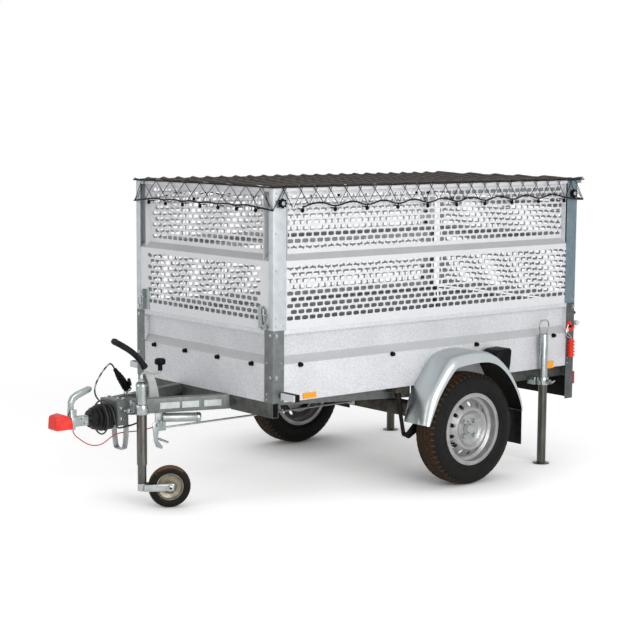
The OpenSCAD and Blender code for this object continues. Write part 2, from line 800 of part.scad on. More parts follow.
module tailgate_latches() {
    color("orangered") in_frame() both_sides() {
        translate([half_w + seat_gap, box_len - 60, deck_z + 190]) cube([10, 50, 56]);
        translate([half_w + seat_gap + 2, box_len - 54, deck_z + 50]) cube([18, 34, 104]);
        translate([half_w + seat_gap + 2, box_len - 48, deck_z + 150]) cube([6, 8, 44]);
    }
}

// ---- coupling and brake ----

module overrun_housing() {
    color("dimgray") in_frame()
        difference() {
            union() {
                translate([-head_half_w, head_y0, head_low])
                    cube([2 * head_half_w, rail_front_y - head_y0 - 1, deck_z - head_low]);
                translate([-50, rail_front_y - 2, rail_low + rail_t + seat_gap])
                    cube([100, head_y1 - rail_front_y + 2, rail_h - 2 * rail_t - 2 * seat_gap]);
            }
            translate([0, head_y0 - 1, coupling_z]) rotate([-90, 0, 0]) cylinder(r = 20 + run_gap, h = 200);
        }
}

module coupling_body() {
    color("silver") in_frame() {
        translate([0, -700, coupling_z]) rotate([-90, 0, 0]) cylinder(r = 20, h = 200);
        translate([-24, -745.7, coupling_z - 25]) cube([48, 88, 42]);
        for (x = [-17, 13]) translate([x, -745.7, coupling_z + 10]) cube([4, 30, 44]);
        translate([2, -743, 385]) cube([22, 16, 16]);
        translate([0, -737, coupling_z + 46]) rotate([0, 90, 0]) cylinder(r = 4, h = 34, center = true);
    }
}

module coupling_cap() {
    color("red") in_frame()
        translate([-40, 0, 0]) rotate([90, 0, 90]) linear_extrude(80)
            polygon([[-nose_reach, 398], [-844, 392], [-743.6, 392], [-746.1, 398.6], [-746.1, 406],
                     [-783, 465], [-822, 460], [-842, 450], [-nose_reach, 440]]);
}

module coupling_handle() {
    color("silver") in_frame() {
        pivot = [0, -737, coupling_z + 46];
        difference() {
            translate(pivot) rotate([0, 90, 0]) cylinder(r = 9, h = 24, center = true);
            translate(pivot) rotate([0, 90, 0]) cylinder(r = 4 + run_gap, h = 30, center = true);
        }
        rod_between(pivot + [0, 0, 8], [0, -737, 518], 9);
        rod_between([0, -737, 516], [0, -706, 542], 10);
        rod_between([0, -707, 541], [0, -630, 566], 12);
    }
}

module bellows() {
    color("black") in_frame()
        translate([0, -657.7 + seat_gap, coupling_z]) rotate([-90, 0, 0])
            rotate_extrude($fn = 64)
                polygon([[20 + seat_gap, 0], [40, 0], [42, 14], [52, 22], [46, 32], [58, 42], [50, 54],
                         [63, 66], [54, 80], [63, 92], [56, 104], [60, 126], [20 + seat_gap, 126]]);
}

module handbrake_lever() {
    color("lightgray") in_frame() {
        translate([lever_x, lever_y, lever_z]) rotate([0, 90, 0])
            difference() {
                cylinder(r = 18, h = 16, center = true);
                cylinder(r = 8 + run_gap, h = 20, center = true);
            }
        rod_between([lever_x, lever_y - 5, lever_z + 14], [lever_x, -279, 592], 9);
        rod_between([lever_x, -279, 590], [lever_x, -298, 650], 9);
        rod_between([lever_x, -296, 647], [lever_x, -480, 773], 14);
    }
}

module support_hoop() {
    color("gray") in_frame() {
        for (s = [-1, 1])
            translate([s * 52, -484, 268]) translate([-3, 0, 0]) cube([6, 28, 120 - seat_gap]);
        translate([-55, -484, 262]) cube([110, 28, 6]);
    }
}

module brake_linkage() {
    color("dimgray") in_frame() {
        translate([lever_x, lever_y, lever_z]) rotate([0, 90, 0]) cylinder(r = 8, h = 60, center = true);
        translate([lever_x - 20, -399.7, lever_z - 14]) cube([8, 180, 44]);
        rod_between([87, -290, 404], [140, -120, 396], 22);
        rod_between([76, -320, 352], [30, axle_y - 191, 344], 5);
        translate([84, -330, 340]) cube([6, 60, rail_low - 340 - seat_gap]);
        translate([0, axle_y - 190.3, 330]) cube([60, 5, 40]);
    }
}

module plug_holder() {
    color("silver") in_frame() {
        translate([-94, -390, rail_top + seat_gap]) cube([32, 40, 3]);
        translate([-94, -388, rail_top + seat_gap]) cube([14, 16, 10]);
        rod_between([-89.8, -365.2, 519.6], [-90, -370.8, 527.7], 20);
    }
}

module plug() {
    color("black") in_frame()
        rod_between([-90, -371, 528], [-92, -440, 630], 19);
}

module light_cable() {
    color("black") in_frame() open_tube(light_route, [1, 0, 0], 4, 8);
}

module breakaway_cable() {
    color("red") in_frame() open_tube(breakaway_route, [0, 1, 0], 2.5, 8);
}

module cable_gland() {
    color("black") in_frame()
        translate([66, -385, rail_low - seat_gap - 12]) cylinder(r = 8, h = 12);
}

drawbar_rails();
crossmembers();
side_members();
axle_beam();
swing_arms();
shock_absorbers();
floor_panel();
front_wall();
left_wall();
right_wall();
lower_posts();
upper_posts();
front_mesh();
left_mesh();
right_mesh();
rear_header();
knobs();
net_hooks();
cargo_net();
net_cord();
mesh_latches();
mudguards();
mudflaps();
wheel_chocks();
light_board();
tail_lamps();
front_lamps();
side_reflectors();
leg_clamps();
jockey_clamp();
hinges();
overrun_housing();
support_hoop();
brake_linkage();
plug_holder();
tailgate_latches();
light_cable();
breakaway_cable();
cable_gland();
plug();
tyre_left();
rim_left();
drum_left();
tyre_right();
rim_right();
drum_right();
jockey_tube();
jockey_crank();
jockey_inner();
jockey_fork();
jockey_wheel();
leg_left();
leg_right();
tailgate();
rear_gate();
handbrake_lever();
coupling_body();
coupling_cap();
coupling_handle();
bellows();
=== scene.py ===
import bpy
import math
import random
from mathutils import Vector, Matrix


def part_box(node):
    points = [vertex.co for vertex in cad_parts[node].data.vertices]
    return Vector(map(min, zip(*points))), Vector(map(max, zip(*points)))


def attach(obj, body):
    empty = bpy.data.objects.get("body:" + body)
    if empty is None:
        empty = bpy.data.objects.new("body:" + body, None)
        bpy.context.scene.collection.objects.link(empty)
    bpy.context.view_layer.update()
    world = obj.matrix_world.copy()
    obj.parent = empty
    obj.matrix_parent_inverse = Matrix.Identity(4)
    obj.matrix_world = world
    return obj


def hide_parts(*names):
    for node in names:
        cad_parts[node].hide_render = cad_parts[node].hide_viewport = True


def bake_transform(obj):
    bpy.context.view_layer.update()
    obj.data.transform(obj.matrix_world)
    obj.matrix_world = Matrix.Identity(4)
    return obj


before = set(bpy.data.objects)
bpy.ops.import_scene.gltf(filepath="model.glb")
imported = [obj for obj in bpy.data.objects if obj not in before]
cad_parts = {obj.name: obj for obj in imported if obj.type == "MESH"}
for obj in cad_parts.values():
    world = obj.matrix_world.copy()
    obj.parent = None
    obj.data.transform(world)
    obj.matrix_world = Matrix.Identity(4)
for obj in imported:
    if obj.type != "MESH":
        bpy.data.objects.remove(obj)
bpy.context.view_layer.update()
random.seed(11)
MM = 0.001
FRONT_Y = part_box("lower_posts")[0].y
TAU = 2 * math.pi


def at(x, y, z):
    """A place in millimetres, y counted from the front of the load box."""
    return Vector((x * MM, FRONT_Y + y * MM, z * MM))


ORIGIN = at(0, 0, 0)


def across(x, outline):
    """An outline of (y, z) in the plane at x."""
    return [at(x, y, z) for y, z in outline]


# ---------------------------------------------------------------- camera
camera = bpy.data.objects.new("camera", bpy.data.cameras.new("camera"))
bpy.context.scene.collection.objects.link(camera)
camera.data.lens = 92.06
camera.data.sensor_width = 36
camera.data.clip_end = 60
camera.location = at(6460, -4589, 1810)
yaw, pitch, roll = math.radians(50.43), math.radians(6.97), math.radians(0.38)
ahead = Vector((-math.sin(yaw) * math.cos(pitch), math.cos(yaw) * math.cos(pitch), -math.sin(pitch)))
side = Vector((math.cos(yaw), math.sin(yaw), 0))
up = side.cross(ahead)
side, up = side * math.cos(roll) + up * math.sin(roll), up * math.cos(roll) - side * math.sin(roll)
camera.rotation_euler = Matrix((side, up, -ahead)).transposed().to_euler()
bpy.context.scene.camera = camera


# ---------------------------------------------------------------- materials
def linear(code):
    """An sRGB hex colour as linear RGBA."""
    parts = [int(code[i:i + 2], 16) / 255 for i in (0, 2, 4)]
    return [c / 12.92 if c <= 0.04045 else ((c + 0.055) / 1.055) ** 2.4 for c in parts] + [1.0]


def add(tree, kind, links=None, stops=(), **settings):
    """A node with its settings, its colour stops and its inputs; a socket is linked, anything else is a value."""
    node = tree.nodes.new("ShaderNode" + kind)
    for key, value in settings.items():
        setattr(node, key, value)
    for i, (where, code) in enumerate(stops):
        if i > 1:
            node.color_ramp.elements.new(where)
        node.color_ramp.elements[i].position = where
        node.color_ramp.elements[i].color = linear(code)
    for key, value in (links or {}).items():
        if isinstance(value, bpy.types.NodeSocket):
            tree.links.new(value, node.inputs[key])
        else:
            node.inputs[key].default_value = value
    return node


def finish_named(name, metallic=0.0, roughness=0.5, ior=None, **sockets):
    """A material with its shader, its node tree and the object's own coordinates."""
    mat = bpy.data.materials.new(name)
    mat.use_nodes = True
    tree = mat.node_tree
    shader = tree.nodes["Principled BSDF"]
    shader.inputs["Metallic"].default_value = metallic
    shader.inputs["Roughness"].default_value = roughness
    if ior:
        shader.inputs["IOR"].default_value = ior
    for key, value in sockets.items():
        shader.inputs[key.replace("_", " ")].default_value = value
    place = add(tree, "TexCoord").outputs["Object"]
    return mat, tree, shader, place


def surface(tree, shader, colour, roughness=None, normal=None):
    """Joins a finish's colour, roughness and relief to its shader."""
    for name, socket in (("Base Color", colour), ("Roughness", roughness), ("Normal", normal)):
        if socket:
            tree.links.new(socket, shader.inputs[name])


def zinc_sheet(name, dark, mid, light, metallic, low, high, grain_mm=4.0, contrast=1.0):
    """Hot-dip coated steel sheet: fine matt spangle, slow cloudy tone from the bath and a faint fine relief."""
    mat, tree, shader, place = finish_named(name, metallic=metallic)
    spangle = add(tree, "TexVoronoi", {"Vector": place, "Scale": 1000 / grain_mm})
    flake = add(tree, "SeparateColor", {"Color": spangle.outputs["Color"]})
    cloud = add(tree, "TexNoise", {"Vector": place, "Scale": 1000 / 160, "Detail": 4.0, "Roughness": 0.5})
    flat = add(tree, "MapRange", {"Value": flake.outputs["Red"], "To Min": 0.5 - 0.5 * contrast,
                                  "To Max": 0.5 + 0.5 * contrast})
    both = add(tree, "Math", {0: flat.outputs["Result"], 1: cloud.outputs["Fac"]}, operation="ADD")
    tone = add(tree, "Math", {0: both.outputs[0], 1: 0.5}, operation="MULTIPLY")
    colour = add(tree, "ValToRGB", {"Fac": tone.outputs[0]}, stops=[(0.2, dark), (0.5, mid), (0.8, light)])
    gloss = add(tree, "MapRange", {"Value": tone.outputs[0], "From Min": 0.3, "From Max": 0.7, "To Min": low,
                                   "To Max": high})
    skin = add(tree, "TexNoise", {"Vector": place, "Scale": 1000 / 3, "Detail": 2.0})
    relief = add(tree, "Bump", {"Height": skin.outputs["Fac"], "Distance": 0.05 * MM, "Strength": 0.35})
    surface(tree, shader, colour.outputs["Color"], gloss.outputs["Result"], relief.outputs["Normal"])
    return mat


def handled(tree, shader, colour, rubbed, rub_mm, low, high, grained, grain_mm, detail, depth, strength=0.5):
    """The colour with a gloss made uneven by handling and a fine relief, joined to the shader."""
    rub = add(tree, "TexNoise", {"Vector": rubbed, "Scale": 1000 / rub_mm, "Detail": 4.0})
    gloss = add(tree, "MapRange", {"Value": rub.outputs["Fac"], "From Min": 0.3, "From Max": 0.7, "To Min": low,
                                   "To Max": high})
    grain = add(tree, "TexNoise", {"Vector": grained, "Scale": 1000 / grain_mm, "Detail": detail})
    relief = add(tree, "Bump", {"Height": grain.outputs["Fac"], "Distance": depth * MM, "Strength": strength})
    surface(tree, shader, colour, gloss.outputs["Result"], relief.outputs["Normal"])


def worn_metal(name, dark, mid, light, metallic, low, high, dirt=None, share=0.55, streak=(1, 1, 1), depth=0.03):
    """Bare or plated steel: drawn streaks, faint scuffs and, where dirt is given, patches of dried road dirt."""
    mat, tree, shader, place = finish_named(name, metallic=metallic)
    drawn = add(tree, "Mapping", {"Vector": place, "Scale": streak}).outputs["Vector"]
    tone = add(tree, "TexNoise", {"Vector": drawn, "Scale": 1000 / 40, "Detail": 5.0, "Roughness": 0.6})
    ramp = add(tree, "ValToRGB", {"Fac": tone.outputs["Fac"]}, stops=[(0.3, dark), (0.5, mid), (0.68, light)])
    colour = ramp.outputs["Color"]
    if dirt:
        patch = add(tree, "TexNoise", {"Vector": place, "Scale": 1000 / 55, "Detail": 6.0, "Roughness": 0.65})
        mask = add(tree, "MapRange", {"Value": patch.outputs["Fac"], "From Min": 0.48, "From Max": 0.72,
                                      "To Max": share})
        colour = add(tree, "Mix", {0: mask.outputs["Result"], 6: colour, 7: linear(dirt)},
                     data_type="RGBA").outputs[2]
    handled(tree, shader, colour, drawn, 12, low, high, place, 6, 3.0, depth, 0.3)
    return mat


def moulded(name, dark, light, low, high, grain_mm=1.2, depth=0.06, sheen=0.5):
    """Moulded plastic or rubber: fine spark-eroded grain and a slightly uneven tone."""
    mat, tree, shader, place = finish_named(name, ior=1.5, Specular_IOR_Level=sheen)
    tone = add(tree, "TexNoise", {"Vector": place, "Scale": 1000 / 45, "Detail": 4.0, "Roughness": 0.6})
    colour = add(tree, "ValToRGB", {"Fac": tone.outputs["Fac"]}, stops=[(0.35, dark), (0.65, light)])
    handled(tree, shader, colour.outputs["Color"], place, 18, low, high, place, grain_mm, 2.0, depth)
    return mat


# Zinc-coated wall sheet, temper rolled: pale, matt, with a fine grey grain.
wall_zinc = zinc_sheet("coated wall sheet", "bfc0c4", "cdced2", "dadbdf", 0.2, 0.5, 0.6, 5, 1.0)
# Perforated sheet of the same steel: a little brighter and more even than the walls.
mesh_zinc = zinc_sheet("perforated steel sheet", "d0d1d4", "d6d7da", "dcdde0", 0.2, 0.48, 0.58, 4, 0.6)
# The slanted step pressed along every sheet: a darker, greyer tone than the flats beside it, painted shade on a
# face that turns away from the light.
step_shaded_zinc = zinc_sheet("pressed step zinc with painted shade", "adafb0", "b6b8ba", "bfc1c3", 0.2, 0.55, 0.65, 3, 1.0)
# Deep-drawn galvanised mudguard: bright, with soft reflections drawn out by the press.
guard_zinc = zinc_sheet("drawn galvanised mudguard", "b2b8b9", "bcc2c3", "c6cccd", 0.9, 0.28, 0.36, 6, 0.1)
# Hot-dip galvanised frame: mid grey, dull and slightly mottled.
frame_zinc = worn_metal("hot-dip galvanised frame", "5d6160", "676b69", "737774", 0.5, 0.42, 0.55)
# The same steel under the floor: darker, with a brown film in patches.
under_zinc = worn_metal("road-filmed cross channel", "3a3c3b", "484b49", "565955", 0.4, 0.5, 0.65, "4c4032", 0.4)
# Galvanised post angles: an even mid grey, softly glossy.
post_zinc = worn_metal("passivated lower post", "626666", "6b6f6f", "757979", 0.3, 0.45, 0.55)
# The rear lower posts: the same, clearly darker, as painted shade.
rear_post_shaded_zinc = worn_metal("rear lower post with painted shade", "444748", "4d5051", "575a5b", 0.3, 0.45, 0.55)
# The same angles above the lower walls, paler and a little glossier.
upper_zinc = worn_metal("passivated upper post", "b4bbbf", "bcc3c6", "c4cacd", 0.4, 0.36, 0.46)
# The rear upper posts: darker and bluer than the front ones, as painted shade.
rear_upper_shaded_zinc = worn_metal("rear upper post with painted shade", "627580", "6c7e88", "768790", 0.4, 0.4, 0.5)
# Dull steel under the box, with dried brown road dust.
dull_steel = worn_metal("dull running-gear steel", "2c2924", "3d3931", "55504a", 0.5, 0.5, 0.7, "5b4a36")
# Drawn steel tube: brownish grey marks stretched along it, with a streaked shine.
tube_steel = worn_metal("drawn steel tube", "3e3d39", "54534e", "6c6b66", 0.85, 0.28, 0.44, "584f43", 0.5,
                        (1, 1, 0.15), depth=0.006)
# Bright zinc plating on bolts, latches, clamps and the coupling.
bright_zinc = worn_metal("bright zinc plating", "969c9c", "a1a7a7", "adb2b1", 0.95, 0.22, 0.28, depth=0.003)
# Pressed zinc arm: pale, with a satin shine.
satin_zinc = worn_metal("satin zinc pressing", "999e9e", "a6abab", "b3b7b7", 0.7, 0.3, 0.45, depth=0.01)
# Silver wheel enamel: metal flake under a clear coat, with a breath of brake dust.
wheel_silver = worn_metal("silver wheel enamel", "929293", "9d9d9e", "a7a7a8", 0.45, 0.3, 0.4, "7d7872", 0.25,
                          depth=0.006)
# Yellow-passivated rim of the small wheel: olive brown, with darker rusty patches.
jockey_rim_zinc = worn_metal("yellow-passivated pressed rim", "75705f", "8c8776", "a19c8b", 0.6, 0.32, 0.45,
                             "5b4a34", 0.6)
# Painted cast iron head, grey, its sand-cast skin still showing.
cast_grey = moulded("painted cast housing", "505554", "626765", 0.35, 0.5, 2.5, 0.15)
# Black injection-moulded plastic: matt where it is textured, glossier where it is handled.
black_plastic = moulded("black moulded plastic", "060607", "101113", 0.36, 0.54, sheen=0.08)
# Soft black rubber of grip, bellows and buffers: a broad soft sheen.
soft_rubber = moulded("soft black rubber", "0f1011", "1d1e20", 0.3, 0.48, 2.0, 0.04, sheen=0.2)
# Black flexible sheathing of the cords: matt, with a fine braided grain.
cord_black = moulded("black cord braid", "110f0d", "211d1b", 0.55, 0.75, 1.5, 0.1, sheen=0.2)
# Red vinyl of the coupling cap: bright and softly glossy.
cap_red = moulded("red soft vinyl", "dc2c25", "ee4038", 0.38, 0.5, 1.5, 0.05, sheen=0.3)
# Orange-red moulded latch: a strong colour with small soft highlights.
latch_red = moulded("orange-red moulded latch", "d4260f", "e43a1c", 0.34, 0.46, sheen=0.3)
# Red sheathed breakaway wire: a deep red line.
wire_red = moulded("red sheathed wire", "b0161b", "cc282b", 0.4, 0.55, sheen=0.3)
# Light grey painted lever arm: pale and smooth beside the plated metal.
lever_grey = moulded("light grey lever enamel", "b4b8b6", "c7cac8", 0.35, 0.5, 3.0, 0.03)
# Resin-faced birch floor: dark brown, lightly mottled, half matt.
floor_film = moulded("film-faced birch floor", "3a2a20", "523d2f", 0.4, 0.6, 6.0, 0.2)
# Black underside paint: brownish black and matt.
black_paint = moulded("black chassis paint", "0e0d0c", "1c1a17", 0.45, 0.65, 2.0, 0.05, sheen=0.14)


def cable_material():
    """Extruded cable sheath: black by the rail, then two strands twisted together, grey round black."""
    mat, tree, shader, place = finish_named("twisted cable sheath", roughness=0.45, ior=1.5)
    # The strands turn once in 24 mm, drawn along a slant so that the bands wrap round the cable.
    twist = add(tree, "TexWave", {"Vector": place, "Scale": 1000 / 24 / TAU * 2, "Distortion": 0.6, "Detail": 1.0},
                wave_type="BANDS", bands_direction="DIAGONAL")
    bands = add(tree, "ValToRGB", {"Fac": twist.outputs["Fac"]}, stops=[(0.42, "1b1b1c"), (0.58, "9c9ea0")])
    height = add(tree, "SeparateXYZ", {"Vector": place}).outputs["Z"]
    free = add(tree, "MapRange", {"Value": height, "From Min": 0.505, "From Max": 0.515},
               interpolation_type="SMOOTHSTEP")
    colour = add(tree, "Mix", {0: free.outputs["Result"], 6: linear("1c1c1d"), 7: bands.outputs["Color"]},
                 data_type="RGBA")
    groove = add(tree, "Bump", {"Height": twist.outputs["Fac"], "Distance": 0.5 * MM, "Strength": 0.4})
    surface(tree, shader, colour.outputs[2], None, groove.outputs["Normal"])
    return mat


sheath_grey = cable_material()


def lens(name, dark, light, cell_mm):
    """Moulded acrylic lens: glossy face over a grid of small prisms."""
    mat, tree, shader, place = finish_named(name, roughness=0.15, ior=1.49, Specular_IOR_Level=0.3,
                                            Coat_Weight=0.15, Coat_Roughness=0.05)
    prism = add(tree, "TexVoronoi", {"Vector": place, "Scale": 1000 / cell_mm, "Randomness": 0.0},
                distance="CHEBYCHEV").outputs["Distance"]
    colour = add(tree, "ValToRGB", {"Fac": prism}, stops=[(0.1, light), (0.5, dark)])
    facet = add(tree, "Bump", {"Height": prism, "Distance": 0.6 * MM, "Strength": 0.5})
    surface(tree, shader, colour.outputs["Color"], None, facet.outputs["Normal"])
    return mat


# Amber reflectors, red tail lamps and clear front lamps: glossy acrylic with a grid of prisms behind the face.
amber_lens = lens("amber reflector prisms", "ea9400", "faa608", 5)
red_lens = lens("red lamp acrylic", "8f1418", "c3262a", 6)
white_lens = lens("clear lamp acrylic", "c2c6c9", "dadddf", 6)


def tyre_material():
    """Vulcanised tyre rubber: matt black wall, brown dust in the tread grooves."""
    mat, tree, shader, place = finish_named("vulcanised tyre rubber", ior=1.52, Specular_IOR_Level=0.12)
    bloom = add(tree, "TexNoise", {"Vector": place, "Scale": 1000 / 35, "Detail": 5.0, "Roughness": 0.6})
    tone = add(tree, "ValToRGB", {"Fac": bloom.outputs["Fac"]}, stops=[(0.3, "100f0e"), (0.7, "191817")])
    dusty = add(tree, "Attribute", attribute_name="tread_dust").outputs["Fac"]
    patch = add(tree, "TexNoise", {"Vector": place, "Scale": 1000 / 30, "Detail": 5.0, "Roughness": 0.7})
    patchy = add(tree, "MapRange", {"Value": patch.outputs["Fac"], "From Min": 0.3, "From Max": 0.7, "To Min": 0.6,
                                    "To Max": 1.0})
    mask = add(tree, "Math", {0: dusty, 1: patchy.outputs["Result"]}, operation="MULTIPLY").outputs[0]
    mix = add(tree, "Mix", {0: mask, 6: tone.outputs["Color"], 7: linear("75573a")}, data_type="RGBA")
    handled(tree, shader, mix.outputs[2], place, 20, 0.5, 0.68, place, 2.5, 3.0, 0.12)
    return mat


tyre_rubber = tyre_material()


def net_material():
    """Fine woven net cloth: brown-black threads drawn 5 mm apart; a painted highlight, a paler tone, lies along
    each fold crest.
    """
    mat, tree, shader, place = finish_named("woven net cloth", roughness=0.85, Specular_IOR_Level=0.12, Alpha=0.9)
    slanted = add(tree, "Mapping", {"Vector": place, "Rotation": (0, 0, 0.785)}).outputs["Vector"]
    weave = add(tree, "TexChecker", {"Vector": slanted, "Scale": 200.0,
                                               "Color1": linear("3a3431"), "Color2": linear("2a2523")})
    fade = add(tree, "TexNoise", {"Vector": place, "Scale": 1000 / 120, "Detail": 4.0, "Roughness": 0.6})
    soft = add(tree, "ValToRGB", {"Fac": fade.outputs["Fac"]}, stops=[(0.3, "27221f"), (0.7, "403a37")])
    mix = add(tree, "Mix", {0: 0.5, 6: weave.outputs["Color"], 7: soft.outputs["Color"]}, data_type="RGBA")
    # Painted highlight: the fold crests are mixed towards a pale tone.
    fold = add(tree, "Attribute", attribute_name="fold").outputs["Fac"]
    crest = add(tree, "MapRange", {"Value": fold, "From Min": 0.6, "From Max": 1.0, "To Max": 0.42})
    fold_highlight = add(tree, "Mix", {0: crest.outputs["Result"], 6: mix.outputs[2], 7: linear("9b928d")}, data_type="RGBA")
    relief = add(tree, "Bump", {"Height": weave.outputs["Fac"], "Distance": 0.4 * MM, "Strength": 0.4})
    surface(tree, shader, fold_highlight.outputs[2], None, relief.outputs["Normal"])
    return mat


net_cloth = net_material()


# ---------------------------------------------------------------- modelling by hand
def bare():
    """Nothing selected, in object mode."""
    if bpy.context.mode != "OBJECT":
        bpy.ops.object.mode_set(mode="OBJECT")
    bpy.ops.object.select_all(action="DESELECT")


def hold(piece):
    """The piece alone is selected and active."""
    bare()
    piece.select_set(True)
    bpy.context.view_layer.objects.active = piece
    return piece


def edit(piece, kind="FACE"):
    """The piece in edit mode, picking faces, edges or vertices."""
    hold(piece)
    bpy.ops.object.mode_set(mode="EDIT")
    bpy.ops.mesh.select_mode(type=kind)


def settle():
    """The piece's place goes into its mesh."""
    piece = bpy.context.object
    if bpy.context.mode != "OBJECT":
        bpy.ops.object.mode_set(mode="OBJECT")
    hold(piece)
    bpy.ops.object.transform_apply(location=True, rotation=True, scale=True)
    return piece


def pick_faces(piece, test):
    """Selects the faces whose centre and normal pass the test, from edit mode."""
    bpy.ops.mesh.select_all(action="DESELECT")
    bpy.ops.object.mode_set(mode="OBJECT")
    for face in piece.data.polygons:
        face.select = bool(test(face.center, face.normal))
    bpy.ops.object.mode_set(mode="EDIT")


def pick_edges(piece, test):
    """Selects the edges whose two ends pass the test, from edit mode."""
    bpy.ops.mesh.select_all(action="DESELECT")
    bpy.ops.object.mode_set(mode="OBJECT")
    v = piece.data.vertices
    for edge in piece.data.edges:
        edge.select = bool(test(v[edge.vertices[0]].co, v[edge.vertices[1]].co))
    bpy.ops.object.mode_set(mode="EDIT")


def rounded_edges(piece, width, segments=2, angle=30.0):
    """Edges sharper than the angle are bevelled."""
    hold(piece)
    mod = piece.modifiers.new("edge", "BEVEL")
    mod.width, mod.segments, mod.limit_method = width * MM, segments, "ANGLE"
    mod.angle_limit = math.radians(angle)
    bpy.ops.object.modifier_apply(modifier=mod.name)
    return piece


def soft_shade(piece, angle=32.0):
    """Smooth shading, broken at edges sharper than the angle."""
    hold(piece)
    bpy.ops.object.shade_smooth_by_angle(angle=math.radians(angle))
    return piece


def outward(piece):
    """Doubles merged, then every face turned outwards."""
    edit(piece)
    bpy.ops.mesh.select_all(action="SELECT")
    bpy.ops.mesh.remove_doubles(threshold=1e-6)
    bpy.ops.mesh.normals_make_consistent(inside=False)
    bare()
    return piece


def block(name, low, high, bevel=1.0, segments=2):
    """A box from corner to corner, its edges rounded."""
    a, b = at(*low), at(*high)
    bare()
    bpy.ops.mesh.primitive_cube_add(size=1, location=(a + b) / 2)
    bpy.context.object.scale = b - a
    piece = settle()
    piece.name = name
    return rounded_edges(piece, bevel, segments)


def drum(name, a, b, r, sides=32, r_end=None, bevel=0.0):
    """A rod, disc or cone from place a to place b."""
    a, b = Vector(a), Vector(b)
    d = b - a
    bare()
    bpy.ops.mesh.primitive_cone_add(vertices=sides, radius1=r * MM, radius2=(r if r_end is None else r_end) * MM,
                                    depth=d.length, location=(a + b) / 2,
                                    rotation=d.to_track_quat("Z", "Y").to_euler())
    piece = settle()
    piece.name = name
    if bevel:
        rounded_edges(piece, bevel, 2, 40)
    return soft_shade(piece)


def wire(name, places, close=False):
    """A chain of edges drawn from one vertex by extruding it from place to place."""
    bare()
    bpy.ops.mesh.primitive_plane_add(size=MM, location=places[0])
    piece = settle()
    piece.name = name
    edit(piece, "VERT")
    bpy.ops.mesh.select_all(action="SELECT")
    bpy.ops.mesh.merge(type="CENTER")
    for a, b in zip(places, places[1:] + ([places[0]] if close else [])):
        bpy.ops.mesh.extrude_region_move(TRANSFORM_OT_translate={"value": Vector(b) - Vector(a)})
    bpy.ops.mesh.select_all(action="SELECT")
    bpy.ops.mesh.remove_doubles(threshold=1e-6)
    return piece


def turned(name, centre, axis, profile, steps=64, close=False):
    """A profile of (radius, height) in mm spun about an axis through centre."""
    axis = Vector(axis).normalized()
    away = Vector((0, 0, 1)) if abs(axis.z) < 0.9 else Vector((1, 0, 0))
    away = (away - axis * away.dot(axis)).normalized()
    centre = Vector(centre)
    piece = wire(name, [centre + away * (r * MM) + axis * (h * MM) for r, h in profile], close)
    bpy.ops.mesh.select_all(action="SELECT")
    bpy.ops.mesh.spin(steps=steps, angle=TAU, center=centre, axis=axis)
    bare()
    return soft_shade(outward(piece))


def plate(name, places, thickness, bevel=0.0, segments=2, shade=32.0):
    """A flat outline filled and extruded by a vector."""
    piece = wire(name, places, close=True)
    bpy.ops.mesh.edge_face_add()
    bpy.ops.mesh.extrude_region_move(TRANSFORM_OT_translate={"value": Vector(thickness)})
    bare()
    outward(piece)
    if bevel:
        rounded_edges(piece, bevel, segments)
    return soft_shade(piece, shade)


def rod_curve(name, places, r, rings, steps=0):
    """A curve with a round section: straight from place to place, or smooth when it is given steps."""
    curve = bpy.data.curves.new(name, "CURVE")
    curve.dimensions = "3D"
    curve.bevel_depth = r * MM
    curve.bevel_resolution = rings
    curve.use_fill_caps = True
    line = curve.splines.new("BEZIER" if steps else "POLY")
    points = line.bezier_points if steps else line.points
    points.add(len(places) - 1)
    for point, place in zip(points, places):
        if steps:
            point.co = place
            point.handle_left_type = point.handle_right_type = "AUTO"
        else:
            point.co = (*place, 1)
    if steps:
        curve.resolution_u = steps
    piece = bpy.data.objects.new(name, curve)
    bpy.context.scene.collection.objects.link(piece)
    return piece


def bent(name, places, r, sides=8, curved=False, soft=True):
    """A bent rod: a curve through the places, given its thickness and made a mesh."""
    hold(rod_curve(name, places, r, max(0, sides // 4 - 1), 6 if curved else 0))
    bpy.ops.object.convert(target="MESH")
    piece = bpy.context.object
    return soft_shade(piece) if soft else piece


def twin(piece, name, offset=(0, 0, 0), mirror=False, turn=None):
    """A copy with its own mesh, moved, turned about a line (place, axis, angle) or mirrored across the middle."""
    copy = piece.copy()
    copy.data = piece.data.copy()
    copy.name = name
    bpy.context.scene.collection.objects.link(copy)
    move = Matrix.Translation(Vector(offset))
    if turn:
        place, axis, angle = turn
        move = move @ Matrix.Translation(place) @ Matrix.Rotation(angle, 4,
                                                                  Vector(axis)) @ Matrix.Translation(-Vector(place))
    if mirror:
        move = move @ Matrix.Scale(-1, 4, Vector((1, 0, 0)))
    copy.data.transform(move)
    if mirror:
        copy.data.flip_normals()
    return copy


def joined(name, pieces):
    """The pieces made one, under one name."""
    bare()
    for piece in pieces:
        piece.select_set(True)
    bpy.context.view_layer.objects.active = pieces[0]
    if len(pieces) > 1:
        bpy.ops.object.join()
    piece = bpy.context.object
    piece.name = name
    return piece


def finish(piece, mat, body, slot, *nodes):
    """The piece gets its finish, rides its body and stands for its CAD nodes."""
    if mat:
        piece.data.materials.clear()
        piece.data.materials.append(mat)
    if nodes:
        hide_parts(*nodes)
    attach(piece, body)
    return piece


